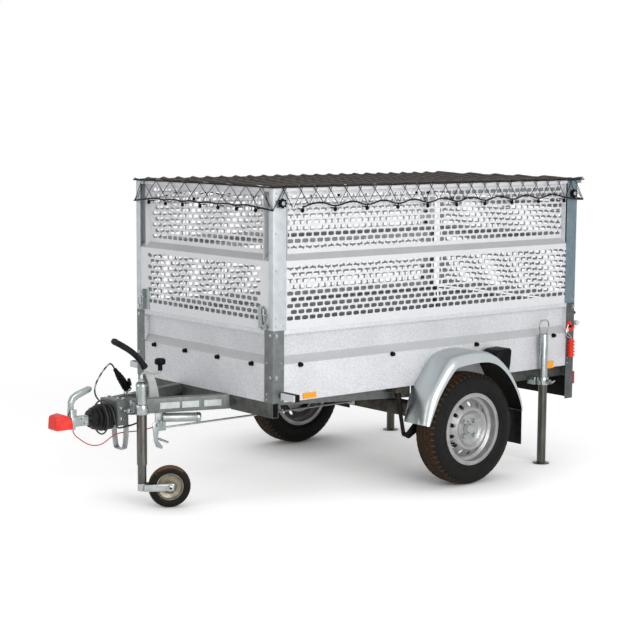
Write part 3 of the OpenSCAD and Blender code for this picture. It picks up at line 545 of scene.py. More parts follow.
def edged_copy(node, name, mat, body, slot, bevel=1.0, segments=2, angle=30.0):
    """A CAD node's own shape with its facets joined and its edges rounded, so that they catch the light."""
    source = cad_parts[node]
    piece = source.copy()
    piece.data = source.data.copy()
    piece.parent = None
    for key in list(piece.keys()):
        del piece[key]
    piece.name = name
    bpy.context.scene.collection.objects.link(piece)
    edit(piece, "VERT")
    bpy.ops.mesh.select_all(action="SELECT")
    bpy.ops.mesh.remove_doubles(threshold=1e-6)
    bpy.ops.mesh.dissolve_limited(angle_limit=math.radians(0.6))
    bare()
    if bevel:
        rounded_edges(piece, bevel, segments, angle)
    soft_shade(piece, 32)
    return finish(piece, mat, body, slot, node)


# ---------------------------------------------------------------- cords
def cord_curve(name, route, r, mat):
    """A cord through the route, as one smooth spline."""
    piece = rod_curve(name, [at(*place) for place in route], r, 3, 4)
    piece.data.materials.append(mat)
    return piece


LIGHT_ROUTE = [
    [66, -385, 420], [66, -388, 408], [66, -400, 396], [66, -430, 386], [67, -470, 380],
    [70, -505, 378], [76, -530, 381], [79, -544, 402], [80, -550, 424], [74, -554, 452],
    [56, -557, 478], [30, -560, 496], [0, -562, 502], [-30, -564, 496], [-56, -566, 478],
    [-74, -568, 452], [-80, -570, 424], [-74, -572, 396], [-56, -574, 370], [-30, -576, 352],
    [0, -578, 346], [30, -580, 352], [56, -582, 370], [74, -584, 396], [80, -586, 424],
    [74, -588, 452], [58, -590, 478], [36, -592, 498], [12, -594, 510], [-12, -592, 522],
    [-34, -586, 541], [-49, -572, 570], [-60, -546, 602], [-70, -518, 628], [-80, -490, 647],
    [-87, -470, 656], [-91, -456, 652], [-92, -448, 643], [-92, -440.5, 630.5]]
BREAKAWAY_ROUTE = [
    [14, -735, 384.5], [15, -733, 373], [19, -724, 356], [24, -706, 340], [29, -680, 320],
    [33, -650, 306], [37, -622, 302], [42, -598, 306], [46, -576, 318], [47, -554, 332],
    [44, -528, 342], [40, -498, 346], [38, -460, 346], [46, -420, 346], [60, -380, 350],
    [74, -346, 358], [81, -324, 362]]

light_cable = cord_curve("light_cable_run", LIGHT_ROUTE, 4, sheath_grey)
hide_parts("light_cable")
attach(light_cable, "chassis")
breakaway = cord_curve("breakaway_wire", BREAKAWAY_ROUTE, 2.5, wire_red)
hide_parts("breakaway_cable")
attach(breakaway, "chassis")

# Strain relief of the light cable: a tapered rubber sleeve out of the rail's grommet.
gland = turned("cable_grommet", at(66, -385, 421), (0, 0, 1),
               [(0, 0), (5.2, 0), (6, 2), (6.8, 7), (8, 8.5), (8, 12), (0, 12)], 24)
finish(gland, soft_rubber, "chassis", "cord_rubber", "cable_gland")


# ---------------------------------------------------------------- perforated sheets
PITCH, ROW, SLOT_W, SLOT_H, STEP_DEPTH = 45.0, 29.0, 36.5, 19.5, 30.0


def slot_cell():
    """One sheet cell, its rectangle bridged to the rounded slot in its middle."""
    bare()
    bpy.ops.mesh.primitive_grid_add(x_subdivisions=4, y_subdivisions=4, size=1, location=(0, 0, 0))
    bpy.context.object.scale = (PITCH * MM, ROW * MM, 1)
    cell = settle()
    edit(cell, "VERT")
    bpy.ops.mesh.select_all(action="DESELECT")
    bpy.ops.object.mode_set(mode="OBJECT")
    for v in cell.data.vertices:
        v.select = abs(v.co.x) < PITCH * 0.45 * MM and abs(v.co.y) < ROW * 0.45 * MM
    bpy.ops.object.mode_set(mode="EDIT")
    bpy.ops.mesh.delete(type="VERT")
    bpy.ops.mesh.select_all(action="DESELECT")
    bpy.ops.mesh.primitive_circle_add(vertices=16, radius=SLOT_H / 2 * MM, location=(0, 0, 0))
    bpy.ops.object.mode_set(mode="OBJECT")
    for v in [v for v in cell.data.vertices if v.co.length < 0.51 * SLOT_H * MM]:
        way = v.co.normalized()
        v.co.x = math.copysign(SLOT_W / 2 * math.sqrt(abs(way.x)), way.x) * MM
        v.co.y = math.copysign(SLOT_H / 2 * math.sqrt(abs(way.y)), way.y) * MM
    bpy.ops.object.mode_set(mode="EDIT")
    bpy.ops.mesh.select_mode(type="EDGE")
    bpy.ops.mesh.select_all(action="SELECT")
    bpy.ops.mesh.bridge_edge_loops()
    bare()
    return cell


def half_cell():
    """Half a cell without a slot, its edges divided as a slotted one's are."""
    bare()
    bpy.ops.mesh.primitive_grid_add(x_subdivisions=2, y_subdivisions=4, size=1, location=(0, 0, 0))
    bpy.context.object.scale = (PITCH * 0.5 * MM, ROW * MM, 1)
    return settle()


def row_of(cell, count, x, y):
    """The cell repeated along a row that starts at x, on the line y."""
    piece = twin(cell, "row", (x, y, 0))
    hold(piece)
    mod = piece.modifiers.new("along", "ARRAY")
    mod.count, mod.use_relative_offset, mod.use_constant_offset = count, False, True
    mod.constant_offset_displace = (PITCH * MM, 0, 0)
    bpy.ops.object.modifier_apply(modifier=mod.name)
    return piece


def slot_field(columns, rows, low):
    """Staggered rows of slots, with half cells left plain at the ends of every second row."""
    width = columns * PITCH * MM
    cell, half = slot_cell(), half_cell()
    made = []
    for k in range(rows):
        y = (low + ROW * (k + 0.5)) * MM
        if k % 2 == 0:
            made.append(row_of(cell, columns, -width / 2 + PITCH / 2 * MM, y))
        else:
            made.append(row_of(cell, columns - 1, -width / 2 + PITCH * MM, y))
            made.append(twin(half, "end", (-width / 2 + PITCH / 4 * MM, y, 0)))
            made.append(twin(half, "end", (width / 2 - PITCH / 4 * MM, y, 0)))
    for spare in (cell, half):
        bpy.data.objects.remove(spare)
    field = joined("field", made)
    edit(field)
    bpy.ops.mesh.select_all(action="SELECT")
    bpy.ops.mesh.remove_doubles(threshold=1e-5)
    bare()
    return field


def pull(piece, y, z, dy, dz):
    """Extrudes the sheet's edge that lies at height y and depth z."""
    edit(piece, "EDGE")
    pick_edges(piece, lambda a, b: (abs(a.y - y) < 2e-5 and abs(b.y - y) < 2e-5 and
                                    abs(a.z - z) < 2e-5 and abs(b.z - z) < 2e-5))
    bpy.ops.mesh.extrude_region_move(TRANSFORM_OT_translate={"value": (0, dy, dz)})
    bare()
    return y + dy, z + dz


def pressed_panel(name, length, height, columns, rows_low, low_start, step_low, step_high, rows_high, high_start):
    """A perforated panel drawn flat: x along it, y up, z towards the load space; folds by extruding its edges."""
    sheet = slot_field(columns, rows_low, low_start)
    upper = slot_field(columns, rows_high, high_start)
    upper.data.transform(Matrix.Translation((0, 0, STEP_DEPTH * MM)))
    sheet = joined("sheet", [sheet, upper])
    head, top = low_start + rows_low * ROW, high_start + rows_high * ROW
    y, z = pull(sheet, low_start * MM, 0, -low_start * MM, 0)
    pull(sheet, y, z, 0, 12 * MM)
    y, z = pull(sheet, head * MM, 0, (step_low - head) * MM, 0)
    y, z = pull(sheet, y, z, (step_high - step_low) * MM, STEP_DEPTH * MM)
    pull(sheet, y, z, (high_start - step_high) * MM, 0)
    y, z = pull(sheet, top * MM, STEP_DEPTH * MM, (height - 20 - top) * MM, 0)
    y, z = pull(sheet, y, z, 0, -STEP_DEPTH * MM)
    y, z = pull(sheet, y, z, 20 * MM, 0)
    y, z = pull(sheet, y, z, 0, 34 * MM)
    pull(sheet, y, z, -8 * MM, 0)
    edit(sheet)
    bpy.ops.mesh.select_all(action="SELECT")
    bpy.ops.mesh.remove_doubles(threshold=1e-5)
    bare()
    half = columns * PITCH / 2 * MM
    for sign in (-1, 1):
        edit(sheet, "EDGE")
        pick_edges(sheet, lambda a, b: abs(a.x - sign * half) < 2e-5 and abs(b.x - sign * half) < 2e-5)
        bpy.ops.mesh.extrude_region_move(TRANSFORM_OT_translate={"value": (sign * (length / 2 * MM - half), 0, 0)})
        bare()
    edit(sheet)
    bpy.ops.mesh.select_all(action="SELECT")
    bpy.ops.mesh.remove_doubles(threshold=1e-5)
    bpy.ops.mesh.normals_make_consistent(inside=False)
    bare()
    middle = [f for f in sheet.data.polygons if abs(f.center.z) < 1e-5 and f.center.y < step_low * MM]
    if sum(f.normal.z for f in middle) > 0:
        edit(sheet)
        bpy.ops.mesh.select_all(action="SELECT")
        bpy.ops.mesh.flip_normals()
        bare()
    hold(sheet)
    mod = sheet.modifiers.new("thickness", "SOLIDIFY")
    mod.thickness, mod.offset = 2 * MM, -1
    bpy.ops.object.modifier_apply(modifier=mod.name)
    sheet.name = name
    return sheet


def stand_panel(piece, place, along, inward):
    """Stands a flat-drawn panel up: its x runs along, its z points to the load space."""
    along, inward = Vector(along), Vector(inward)
    turn = Matrix((along, Vector((0, 0, 1)), inward)).transposed().to_4x4()
    piece.data.transform(Matrix.Translation(place) @ turn)
    if turn.determinant() < 0:
        piece.data.flip_normals()
    piece.data.update()
    return piece


def paint_step_shade(piece, least):
    """The slanted step of a sheet gets the darker zinc: painted shade."""
    piece.data.materials.append(step_shaded_zinc)
    for face in piece.data.polygons:
        if 0.3 < abs(face.normal.z) < 0.92 and face.area > least:
            face.material_index = len(piece.data.materials) - 1
    return piece


# ---------------------------------------------------------------- load box
mesh_low, mesh_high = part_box("left_mesh")
wall_x = mesh_high.x / MM
mesh_z = mesh_low.z / MM
side_mid = (mesh_low.y + mesh_high.y) / 2 / MM - FRONT_Y / MM
side_len = (mesh_high.y - mesh_low.y) / MM

left_sheet = pressed_panel("left_perforated_side", side_len, 661, 43, 9, 38.2, 321, 350, 9, 365.2)
right_sheet = twin(left_sheet, "right_perforated_side")
stand_panel(left_sheet, at(wall_x, side_mid, mesh_z), (0, 1, 0), (-1, 0, 0))
stand_panel(right_sheet, at(-wall_x, side_mid, mesh_z), (0, 1, 0), (1, 0, 0))
front_sheet = pressed_panel("front_perforated_end", 2 * wall_x, 661, 21, 9, 38.2, 321, 350, 9, 365.2)
stand_panel(front_sheet, at(0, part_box("front_mesh")[0].y / MM - FRONT_Y / MM, mesh_z), (1, 0, 0), (0, 1, 0))
gate_low, gate_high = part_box("rear_gate")
gate_y, gate_half = 2099.0, (gate_high.x - gate_low.x) / MM / 2
gate_sheet = pressed_panel("rear_perforated_gate", 2 * gate_half, 531.3, 21, 9, 33.5, 321, 350, 5, 360.5)
stand_panel(gate_sheet, at(0, gate_y, 847), (1, 0, 0), (0, -1, 0))

returns = []
for sign in (1, -1):
    for y in (84.5, 1973.5):
        returns.append(plate("return", [at(sign * (wall_x - d), y, mesh_z + h) for d,
                                        h in ((0.5, 323), (30, 351), (30, 640), (0.5, 640))],
                             (0, 2 * MM, 0)))
    returns.append(plate("return", [at(sign * 488.5, 3.8 + d, mesh_z + h) for d,
                                    h in ((0, 323), (29.5, 351), (29.5, 640), (0, 640))],
                         (sign * -2 * MM, 0, 0)))
finish(joined("pressed_step_returns", returns), mesh_zinc, "chassis", "wall_sheet")
for sheet, node in ((left_sheet, "left_mesh"), (right_sheet, "right_mesh"), (front_sheet, "front_mesh")):
    paint_step_shade(finish(sheet, mesh_zinc, "chassis", "wall_sheet", node), 1e-4)

# Folded ends of the gate and the tailgate, inside their width: they close the view past the edge.
for body, zinc, low, step_start, step_end in (("rear_gate", mesh_zinc, 849, 1168, 1196),
                                              ("tailgate", wall_zinc, 510, 682, 719)):
    corners = ((2069, low), (2098.5, low), (2098.5, step_start), (2069, step_end))
    gate_end = plate(body + "_end_return", [at(gate_half - 2.5, y, z) for y, z in corners], (2 * MM, 0, 0))
    other_end = twin(gate_end, body + "_other_end", mirror=True)
    finish(joined(body + "_end_returns", [gate_end, other_end]), zinc, body, "wall_sheet")


def hinge_leaves(name, z):
    """Three leaves hanging from their barrels on the gate's hinge line."""
    made = []
    for x in (-380, 0, 380):
        made.append(drum("barrel", at(x - 30, 2104, z), at(x + 30, 2104, z), 7.5, 20, bevel=0.6))
        made.append(block("leaf", (x - 30, 2099.2, z - 55), (x + 30, 2102.6, z - 5), 0.8))
        for dx in (-18, 18):
            made.append(drum("stud", at(x + dx, 2102.6, z - 21), at(x + dx, 2105.6, z - 21), 5, 10, 3.6))
    return joined(name, made)


finish(hinge_leaves("gate_hinge_leaves", 1384.3), bright_zinc, "rear_gate", "bright_zinc")
paint_step_shade(finish(gate_sheet, mesh_zinc, "rear_gate", "wall_sheet", "rear_gate"), 1e-4)
edged_copy("rear_header", "rear_header_rail", mesh_zinc, "chassis", "wall_sheet", 1.0)
for node, name in (("left_wall", "left_drop_wall"), ("right_wall", "right_drop_wall"),
                   ("front_wall", "front_drop_wall")):
    paint_step_shade(edged_copy(node, name, wall_zinc, "chassis", "wall_sheet", 1.4, 3), 5e-3)
paint_step_shade(edged_copy("tailgate", "tailgate_panel", wall_zinc, "tailgate", "wall_sheet", 1.2), 5e-3)
for node, name, front_finish, rear_shaded_finish in (("lower_posts", "lower_corner_posts", post_zinc, rear_post_shaded_zinc),
                                              ("upper_posts", "upper_corner_posts", upper_zinc, rear_upper_shaded_zinc)):
    posts = edged_copy(node, name, front_finish, "chassis", "post_paint", 1.4, 3)
    # Faces behind the middle of the box take the darker copy: painted shade on the rear posts.
    posts.data.materials.append(rear_shaded_finish)
    for face in posts.data.polygons:
        face.material_index = int(face.center.y > 0)
edged_copy("hinges", "fixed_hinge_knuckles", bright_zinc, "chassis", "bright_zinc", 0.6)
edged_copy("floor_panel", "plywood_floor", floor_film, "chassis", "floor_ply", 0.8)


def hex_bolt(name, place, axis, r, height):
    """A hexagon head on its washer."""
    axis = Vector(axis)
    base = Vector(place)
    washer = drum("washer", base, base + axis * (1.6 * MM), r * 1.45, 16)
    head = drum("head", base + axis * (1.5 * MM), base + axis * (height * MM), r, 6, bevel=0.7)
    return joined(name, [washer, head])


def round_bolt(name, place, axis, r, height):
    """A shallow domed head."""
    axis = Vector(axis)
    base = Vector(place)
    return turned(name, base, axis, [(r, 0), (r, 0.25 * height), (0.8 * r, 0.75 * height), (0.4 * r, height),
                                     (0, height)], 12)


def scattered(name, first, spots, origin):
    """Copies of a small part at other places."""
    made = [first] + [twin(first, "again", Vector(s) - Vector(origin)) for s in spots]
    return joined(name, made)


# Post hardware: large zinc carriage bolts, then small rivets.
side_bolts, end_bolts, side_rivets, end_rivets = [], [], [], []
for z in (820, 624):
    side_bolts += [(568.5, 17, z), (568.5, 2043, z)]
    end_bolts += [(548, 0, z)]
for z in (690, 545, 518):
    side_rivets += [(568.5, 49, z), (568.5, 2012, z)]
    end_rivets += [(520, 0, z)]
for z in (862, 900, 1120, 1290, 1440, 1476):
    side_rivets += [(568.5, 14, z), (568.5, 2046, z)]
for z in (862, 1476):
    side_rivets += [(568.5, 62, z), (568.5, 1996, z)]
    end_rivets += [(545, 0, z)]
end_rivets += [(545, 0, 1205), (545, 0, 1420)]


def ring_of(name, spots, axis, maker, r, h):
    first = maker("first", at(*spots[0]), axis, r, h)
    return scattered(name, first, [at(*s) for s in spots[1:]], at(*spots[0]))


def mirrored_pair(piece, name):
    other = twin(piece, "other", mirror=True)
    return joined(name, [piece, other])


hardware = [ring_of("a", side_bolts, (1, 0, 0), hex_bolt, 8.5, 8),
            ring_of("b", side_rivets, (1, 0, 0), round_bolt, 4.5, 2.4),
            ring_of("c", end_bolts, (0, -1, 0), round_bolt, 9, 5),
            ring_of("d", end_rivets, (0, -1, 0), round_bolt, 4.5, 2.4)]
hardware.append(ring_of("e", [(548, 2060, z) for z in (1190, 990, 825, 624, 380)], (0, 1, 0), round_bolt, 8, 5))
finish(mirrored_pair(joined("hardware", hardware), "post_bolts"), bright_zinc, "chassis", "bright_zinc")

# Black net studs on the lower walls: six-sided base, waisted neck and a domed head.
stud_profile = [(0, 0), (12, 0), (12.5, 1.5), (11.5, 3.5), (7.5, 5), (7, 9), (9.8, 10.5), (10.6, 13), (9.6, 16.5),
                (6, 18.6), (0, 19)]
stud = turned("stud", ORIGIN, (1, 0, 0), stud_profile, 12)
knob_ys = [162 + i * 578.667 for i in range(4)]
studs = [twin(stud, "s", at(565.2, y, 675) - ORIGIN) for y in knob_ys]
studs += [twin(s, "m", mirror=True) for s in studs]
front_stud = turned("front_stud", ORIGIN, (0, -1, 0), stud_profile, 12)
studs += [twin(front_stud, "f", at(x, 3.0, 675) - ORIGIN) for x in (-406.5, -135.5, 135.5, 406.5)]

# Star knobs that clamp the raised sides to the posts: eight lobes round a plated screw head.
lobes = [(20.2 + 3.3 * math.cos(8 * TAU * i / 64), TAU * i / 64) for i in range(64)]
knob = plate("star", [at(7, r * math.cos(a), r * math.sin(a)) for r, a in lobes], (14 * MM, 0, 0), 2.5, 3)
neck = drum("neck", ORIGIN, at(8, 0, 0), 12, 20)
knob = joined("star", [knob, neck])
star_spots = [at(568.8, y, 1430.3) - ORIGIN for y in (42, 2018)]
stars = [twin(knob, "k", spot) for spot in star_spots]
stars += [twin(k, "m", mirror=True) for k in stars]
face = turned("face", at(20.6, 0, 0), (1, 0, 0), [(0, 0), (10, 0), (10, 1.2), (8.5, 1.8), (3, 1.8), (2.4, 1.2),
                                                  (0, 1.2)], 20)
faces = [twin(face, "face", spot) for spot in star_spots]
faces += [twin(f, "m", mirror=True) for f in faces]
bpy.data.objects.remove(face)
finish(joined("star_knob_screws", faces), satin_zinc, "chassis", "bright_zinc")
for spare in (stud, front_stud, knob):
    bpy.data.objects.remove(spare)
finish(joined("net_studs_and_star_knobs", studs + stars), black_plastic, "chassis", "black_plastic", "knobs")


# ---------------------------------------------------------------- net, its lacing, elastic cord and hooks
# The cloth casts no shadow, so the load space stays as light as a fine open net would leave it.
hook_ys = [165 + i * 198.333 for i in range(10)]
hook_xs = [i * 147.5 for i in range(-3, 4)]
CORD_X, CORD_Y0, CORD_Y1, LOW, HIGH, CORNER = 580.5, -12.0, 2106.0, 1411.3, 1429.3, 1398.0


def with_middles(values, high):
    """The cord's height at each hook and, higher, half way between two."""
    out = []
    for a, b in zip(values, values[1:]):
        out += [(a, LOW), ((a + b) / 2, high)]
    return out + [(values[-1], LOW)]


side_run, front_run = with_middles(hook_ys, HIGH), with_middles(hook_xs, LOW + 5)
loop = [(CORD_X, y, z) for y, z in side_run] + [(CORD_X - 6, CORD_Y1 - 6, CORNER)]
loop += [(x, CORD_Y1, z) for x, z in reversed(front_run)] + [(6 - CORD_X, CORD_Y1 - 6, CORNER)]
loop += [(-CORD_X, y, z) for y, z in reversed(side_run)] + [(6 - CORD_X, CORD_Y0 + 6, CORNER)]
loop += [(x, CORD_Y0, z) for x, z in front_run] + [(CORD_X - 6, CORD_Y0 + 6, CORNER)]
elastic = bent("elastic_net_cord", [at(*p) for p in loop], 4, 12, curved=True)
finish(elastic, cord_black, "chassis", "cord_rubber", "net_cord")


def cord_height(run, s):
    """The cord's height at a place s along its run."""
    for (a, za), (b, zb) in zip(run, run[1:]):
        if a <= s <= b:
            return za + (zb - za) * (s - a) / (b - a)
    return run[0][1] - 4


SHEET_X, SHEET_Y0, SHEET_Y1, SHEET_Z = 577.0, -9.0, 2103.0, 1506.0
bare()
bpy.ops.mesh.primitive_grid_add(x_subdivisions=90, y_subdivisions=230, size=1,
                                location=at(0, (SHEET_Y0 + SHEET_Y1) / 2, SHEET_Z))
bpy.context.object.scale = (2 * SHEET_X * MM, (SHEET_Y1 - SHEET_Y0) * MM, 1)
net_sheet = settle()
net_sheet.name = "net_top_cloth"


def fold_crest(x, y):
    """One on the crest of a diagonal pull fold, nought in its trough."""
    return 0.5 + 0.5 * math.sin((y + 0.42 * x + 18 * math.sin(x / 170)) / 92.5 * TAU)


def fold_height(x, y):
    """Diagonal pull folds, higher towards the laced edges, and a slack middle."""
    edge = max(abs(x) / 577, abs(y - 1047) / 1056) ** 5
    ridge = fold_crest(x, y) ** 3
    ripple = math.sin((y * 0.31 - x) / 190 * TAU)
    return (3 + 7 * edge) * ridge + 1.5 * ripple * (1 - edge) - 3 * (1 - edge)


# Each vertex keeps its fold crest value, which drives the net's painted highlight.
crest = net_sheet.data.attributes.new("fold", "FLOAT", "POINT")
for i, v in enumerate(net_sheet.data.vertices):
    x, y = v.co.x / MM, (v.co.y - FRONT_Y) / MM
    v.co.z += fold_height(x, y) * MM
    crest.data[i].value = fold_crest(x, y)
    drop = max(0.0, abs(x) - (SHEET_X - 8)) / 8
    v.co.z -= 3.0 * drop * MM
    if abs(x) > SHEET_X - 0.1:
        v.co.x -= math.copysign((1.5 + 1.5 * math.sin(y / 99 * TAU)) * MM, x)
hold(net_sheet)
mod = net_sheet.modifiers.new("cloth", "SOLIDIFY")
mod.thickness, mod.offset = 1.2 * MM, 1
bpy.ops.object.modifier_apply(modifier=mod.name)
soft_shade(net_sheet, 60)
finish(net_sheet, net_cloth, "chassis", "net_fabric", "cargo_net")
net_sheet.visible_shadow = False

hem_left = []
for i in range(60):
    y = SHEET_Y0 + i * 35.2
    lift = 0.35 * 7.5 * max(0, math.sin((y - 0.55 * SHEET_X) / 91 * TAU)) ** 3
    hem_left.append((SHEET_X - 1.5 - 1.5 * math.sin(y / 99 * TAU), y, SHEET_Z - 3 + lift))
hem_left.append((SHEET_X - 3, SHEET_Y1, SHEET_Z - 2))
hem_right = [(-x, y, z) for x, y, z in reversed(hem_left)]
hem_loop = hem_left + [(0, SHEET_Y1 + 1, SHEET_Z)] + hem_right + [(0, SHEET_Y0 - 1, SHEET_Z), hem_left[0]]
hem = bent("net_hem", [at(*p) for p in hem_loop], 4.2, 8)
finish(hem, cord_black, "chassis", "cord_rubber")

strands = []


def strand(*places):
    """One lacing string through its places."""
    strands.append([at(*p) for p in places])


for sign in (1, -1):
    for j in range(22):
        y = 60 + j * 92.5 + random.uniform(-5, 5)
        knot = (sign * (SHEET_X - 1), y, SHEET_Z - 19 - random.uniform(0, 6))
        for s in (-1, 1):
            foot = min(max(y + s * 44, 6), 2096)
            strand((sign * (SHEET_X - 3), y - s * 11, SHEET_Z - 3), knot,
                   (sign * (SHEET_X + 1.5), foot, cord_height(side_run, foot) + 2.5))
for y_edge, y_cord in ((SHEET_Y0, CORD_Y0), (SHEET_Y1, CORD_Y1)):
    for j in range(9):
        x = -496 + j * 124
        for s in (-1, 1):
            foot = min(max(x + s * 96, -556), 556)
            strand((x, y_edge, SHEET_Z - 2), ((x + foot) / 2, (y_edge + y_cord) / 2, 1462),
                   (foot, y_cord, cord_height(front_run, foot) + 2.5))
for sx in (-1, 1):
    for y_edge, y_cord in ((SHEET_Y0, CORD_Y0 + 7), (SHEET_Y1, CORD_Y1 - 7)):
        strand((sx * (SHEET_X - 2), y_edge + (70 if y_edge < 0 else -70), SHEET_Z - 3),
               (sx * (SHEET_X - 2), y_cord, CORNER + 3))
        strand((sx * 470, y_edge, SHEET_Z - 3), (sx * (SHEET_X - 8), y_cord, CORNER + 3))
lacing = joined("net_lacing", [bent("strand", places, 2.1, 4, soft=False) for places in strands])
finish(lacing, cord_black, "chassis", "cord_rubber")


def net_hook():
    """A black plastic hook: thin arm under the cord, upturned tip and a thick bead below; its foot is a separate
    rivet.
    """
    zero = ORIGIN
    arm = drum("arm", zero, zero + Vector((42, 0, 0)) * MM, 2.6, 8)
    tip = drum("tip", zero + Vector((41, 0, -3)) * MM, zero + Vector((45, 0, 13)) * MM, 3.6, 8, 2.8)
    bead = turned("bead", zero + Vector((33, 0, -8)) * MM, (1, 0, 0),
                  [(0, 0), (6.5, 0.5), (9.5, 3.5), (9.5, 9.5), (6.5, 12.5), (0, 13)], 10)
    return joined("hook", [arm, tip, bead])


def round_the_box(first):
    """A small part copied to every hook's place round the load box."""
    made = []
    for y in hook_ys:
        h = twin(first, "h", at(535.5, y, 1401.5) - ORIGIN)
        made += [h, twin(h, "m", mirror=True)]
    for x in hook_xs:
        made.append(twin(first, "f", at(x, 33, 1401.5) - ORIGIN, turn=(ORIGIN, (0, 0, 1), -math.pi / 2)))
        over_hinge = 13 if abs(x) < 30 else 0  # the middle one stands clear of the gate's middle hinge
        made.append(twin(first, "r", at(x, 2064.8, 1401.5 + over_hinge) - ORIGIN,
                         turn=(ORIGIN, (0, 0, 1), math.pi / 2)))
    bpy.data.objects.remove(first)
    return made


finish(joined("net_hooks_moulded", round_the_box(net_hook())), black_plastic, "chassis", "black_plastic",
       "net_hooks")
foot = round_bolt("foot", ORIGIN, (1, 0, 0), 8, 4)
finish(joined("net_hook_rivets", round_the_box(foot)), mesh_zinc, "chassis", "bright_zinc")


# ---------------------------------------------------------------- wheels
WX, WY, WZ = 682.0, 1128.0, 282.0


def tyre_profile():
    half = [(166, 59.7), (176, 59.7), (183, 61.5), (186, 66.5), (192, 70), (198, 72.2), (200, 74.6), (204, 75),
            (206, 73.6),
            (222, 76.8), (236, 76.6), (246, 74.6), (254, 72), (258, 70.6), (259, 69), (265, 65.5), (271, 60.5),
            (276, 54),
            (279, 47.5), (280.2, 43), (281, 39), (275, 37.2), (275, 31.2), (281.6, 29.4), (281.8, 18.5),
            (275.2, 16.7), (275.2, 9.6), (282, 7.8)]
    return half + [(r, -h) for r, h in reversed(half)]


def road_tyre():
    piece = turned("tyre", at(WX, WY, WZ), (1, 0, 0), tyre_profile(), 168, close=True)
    centre = at(WX, WY, WZ)
    edit(piece)

    def sipe(c, n):
        r, h = math.hypot(c.y - centre.y, c.z - centre.z) / MM, abs(c.x - centre.x) / MM
        turn = int((math.atan2(c.y - centre.y, c.z - centre.z) + math.pi) / TAU * 168 + 0.01)
        shoulder = 266 < r < 281 and 42 < h < 64 and turn % 3 == 0
        block_cut = r > 280.5 and 17 < h < 31 and turn % 3 == 1
        return shoulder or block_cut

    pick_faces(piece, sipe)
    bpy.ops.mesh.inset(thickness=0.9 * MM, depth=-3.2 * MM, use_individual=False)
    bare()
    sunk = {v for face in piece.data.polygons if face.select for v in face.vertices}
    dust = piece.data.attributes.new("tread_dust", "FLOAT", "POINT")
    for i, v in enumerate(piece.data.vertices):
        r, h = math.hypot(v.co.y - centre.y, v.co.z - centre.z) / MM, abs(v.co.x - centre.x) / MM
        dust.data[i].value = 0.5 if i in sunk else (
            0.0 if r < 262 or h > 60 else (1.0 if r < 276 and h < 40 else 0.12))
    return soft_shade(piece, 28)


def lug_bolt(place):
    axis = Vector((1, 0, 0))
    seat = turned("seat", place, axis, [(0, 0), (12, 0), (12.5, 2), (11, 4.5), (0, 4.5)], 20)
    head = drum("head", place + axis * 4 * MM, place + axis * 15 * MM, 9.6, 6, bevel=0.8)
    dimple = drum("dimple", place + axis * 14 * MM, place + axis * 16 * MM, 6, 16, 4.5)
    return joined("lug", [seat, head, dimple])


left_tyre = road_tyre()
right_tyre = twin(left_tyre, "right_tyre", mirror=True)
left_tyre.name = "left_tyre"
finish(left_tyre, tyre_rubber, "wheel_left", "tyre_rubber", "tyre_left")
finish(right_tyre, tyre_rubber, "wheel_right", "tyre_rubber", "tyre_right")
bolts = [lug_bolt(at(714.5, WY + 50 * math.sin(a),
                     WZ + 50 * math.cos(a))) for a in (math.radians(45 + 90 * i) for i in range(4))]
hub_cap = turned("cap", at(720, WY, WZ), (1, 0, 0), [(34, -3), (34, 0.8), (29.5, 1.6), (28, 4), (25.5, 6), (24, 11),
                                                     (22, 13.5), (14, 15), (12.5, 13.2), (0, 13.2)], 32)
wheel_metal = joined("left_wheel_bolts", bolts + [hub_cap])
right_metal = twin(wheel_metal, "right_wheel_bolts", mirror=True)
finish(wheel_metal, bright_zinc, "wheel_left", "bright_zinc")
finish(right_metal, bright_zinc, "wheel_right", "bright_zinc")
valve = joined("left_valve", [drum("valve_stem", at(706, WY - 128, WZ - 64), at(732, WY - 118, WZ - 59), 5.5, 12,
                                   4.2),
                              drum("valve_cap", at(732, WY - 118, WZ - 59), at(740, WY - 115, WZ - 57.5), 4, 12)])
right_valve = twin(valve, "right_valve", mirror=True)
finish(valve, soft_rubber, "wheel_left", "black_plastic")
finish(right_valve, soft_rubber, "wheel_right", "black_plastic")
for s in ("left", "right"):
    edged_copy("rim_" + s, s + "_steel_rim", wheel_silver, "wheel_" + s, "rim_silver", 0.9, 2, 22)
    hub = edged_copy("drum_" + s, s + "_brake_drum", dull_steel, "wheel_" + s, "dark_running_gear", 1.2)
    hub.data.materials.append(wheel_silver)
    for face in hub.data.polygons:
        face.material_index = int(math.hypot(face.center.y - at(0, WY, 0).y, face.center.z - WZ * MM) < 0.05)

guards = edged_copy("mudguards", "drawn_mudguards", guard_zinc, "chassis", "galvanised_frame", 0)
guards.data.materials.append(black_paint)
soft_shade(guards, 60)
hub_line = at(0, WY, WZ)
# Faces of the guard turned towards the wheel are coloured black.
for face in guards.data.polygons:
    out = face.center - hub_line
    out.x = 0
    face.material_index = int(face.normal.dot(out.normalized()) < -0.25)
chock = plate("chock", [at(588, WY + y, WZ + z) for y, z in ((206, 350), (250, 304), (296, 222), (306, 226),
                                                             (320, 300), (326, 362), (315, 376), (236, 371))],
              (104 * MM, 0, 0), 6, 3)
edit(chock)
pick_faces(chock, lambda c, n: n.x > 0.99 and c.x > 0.68)
bpy.ops.mesh.inset(thickness=9 * MM, depth=-5 * MM, use_individual=False)
bare()
finish(mirrored_pair(soft_shade(chock), "black_wheel_chocks"), black_plastic, "chassis", "black_plastic",
       "wheel_chocks")
flap = plate("flap", [at(x, 1478.8, z) for x, z in ((612.5, 162), (742, 162), (742, 336), (737, 340), (737, 345),
                                                    (742, 349), (742, 375), (612.5, 375))],
             (0, 5 * MM, 0), 1.2)
flap_bolts = ring_of("flap_bolt", [(722, 1478.8, 358), (640, 1478.8, 358)], (0, -1, 0), round_bolt, 6, 3.5)
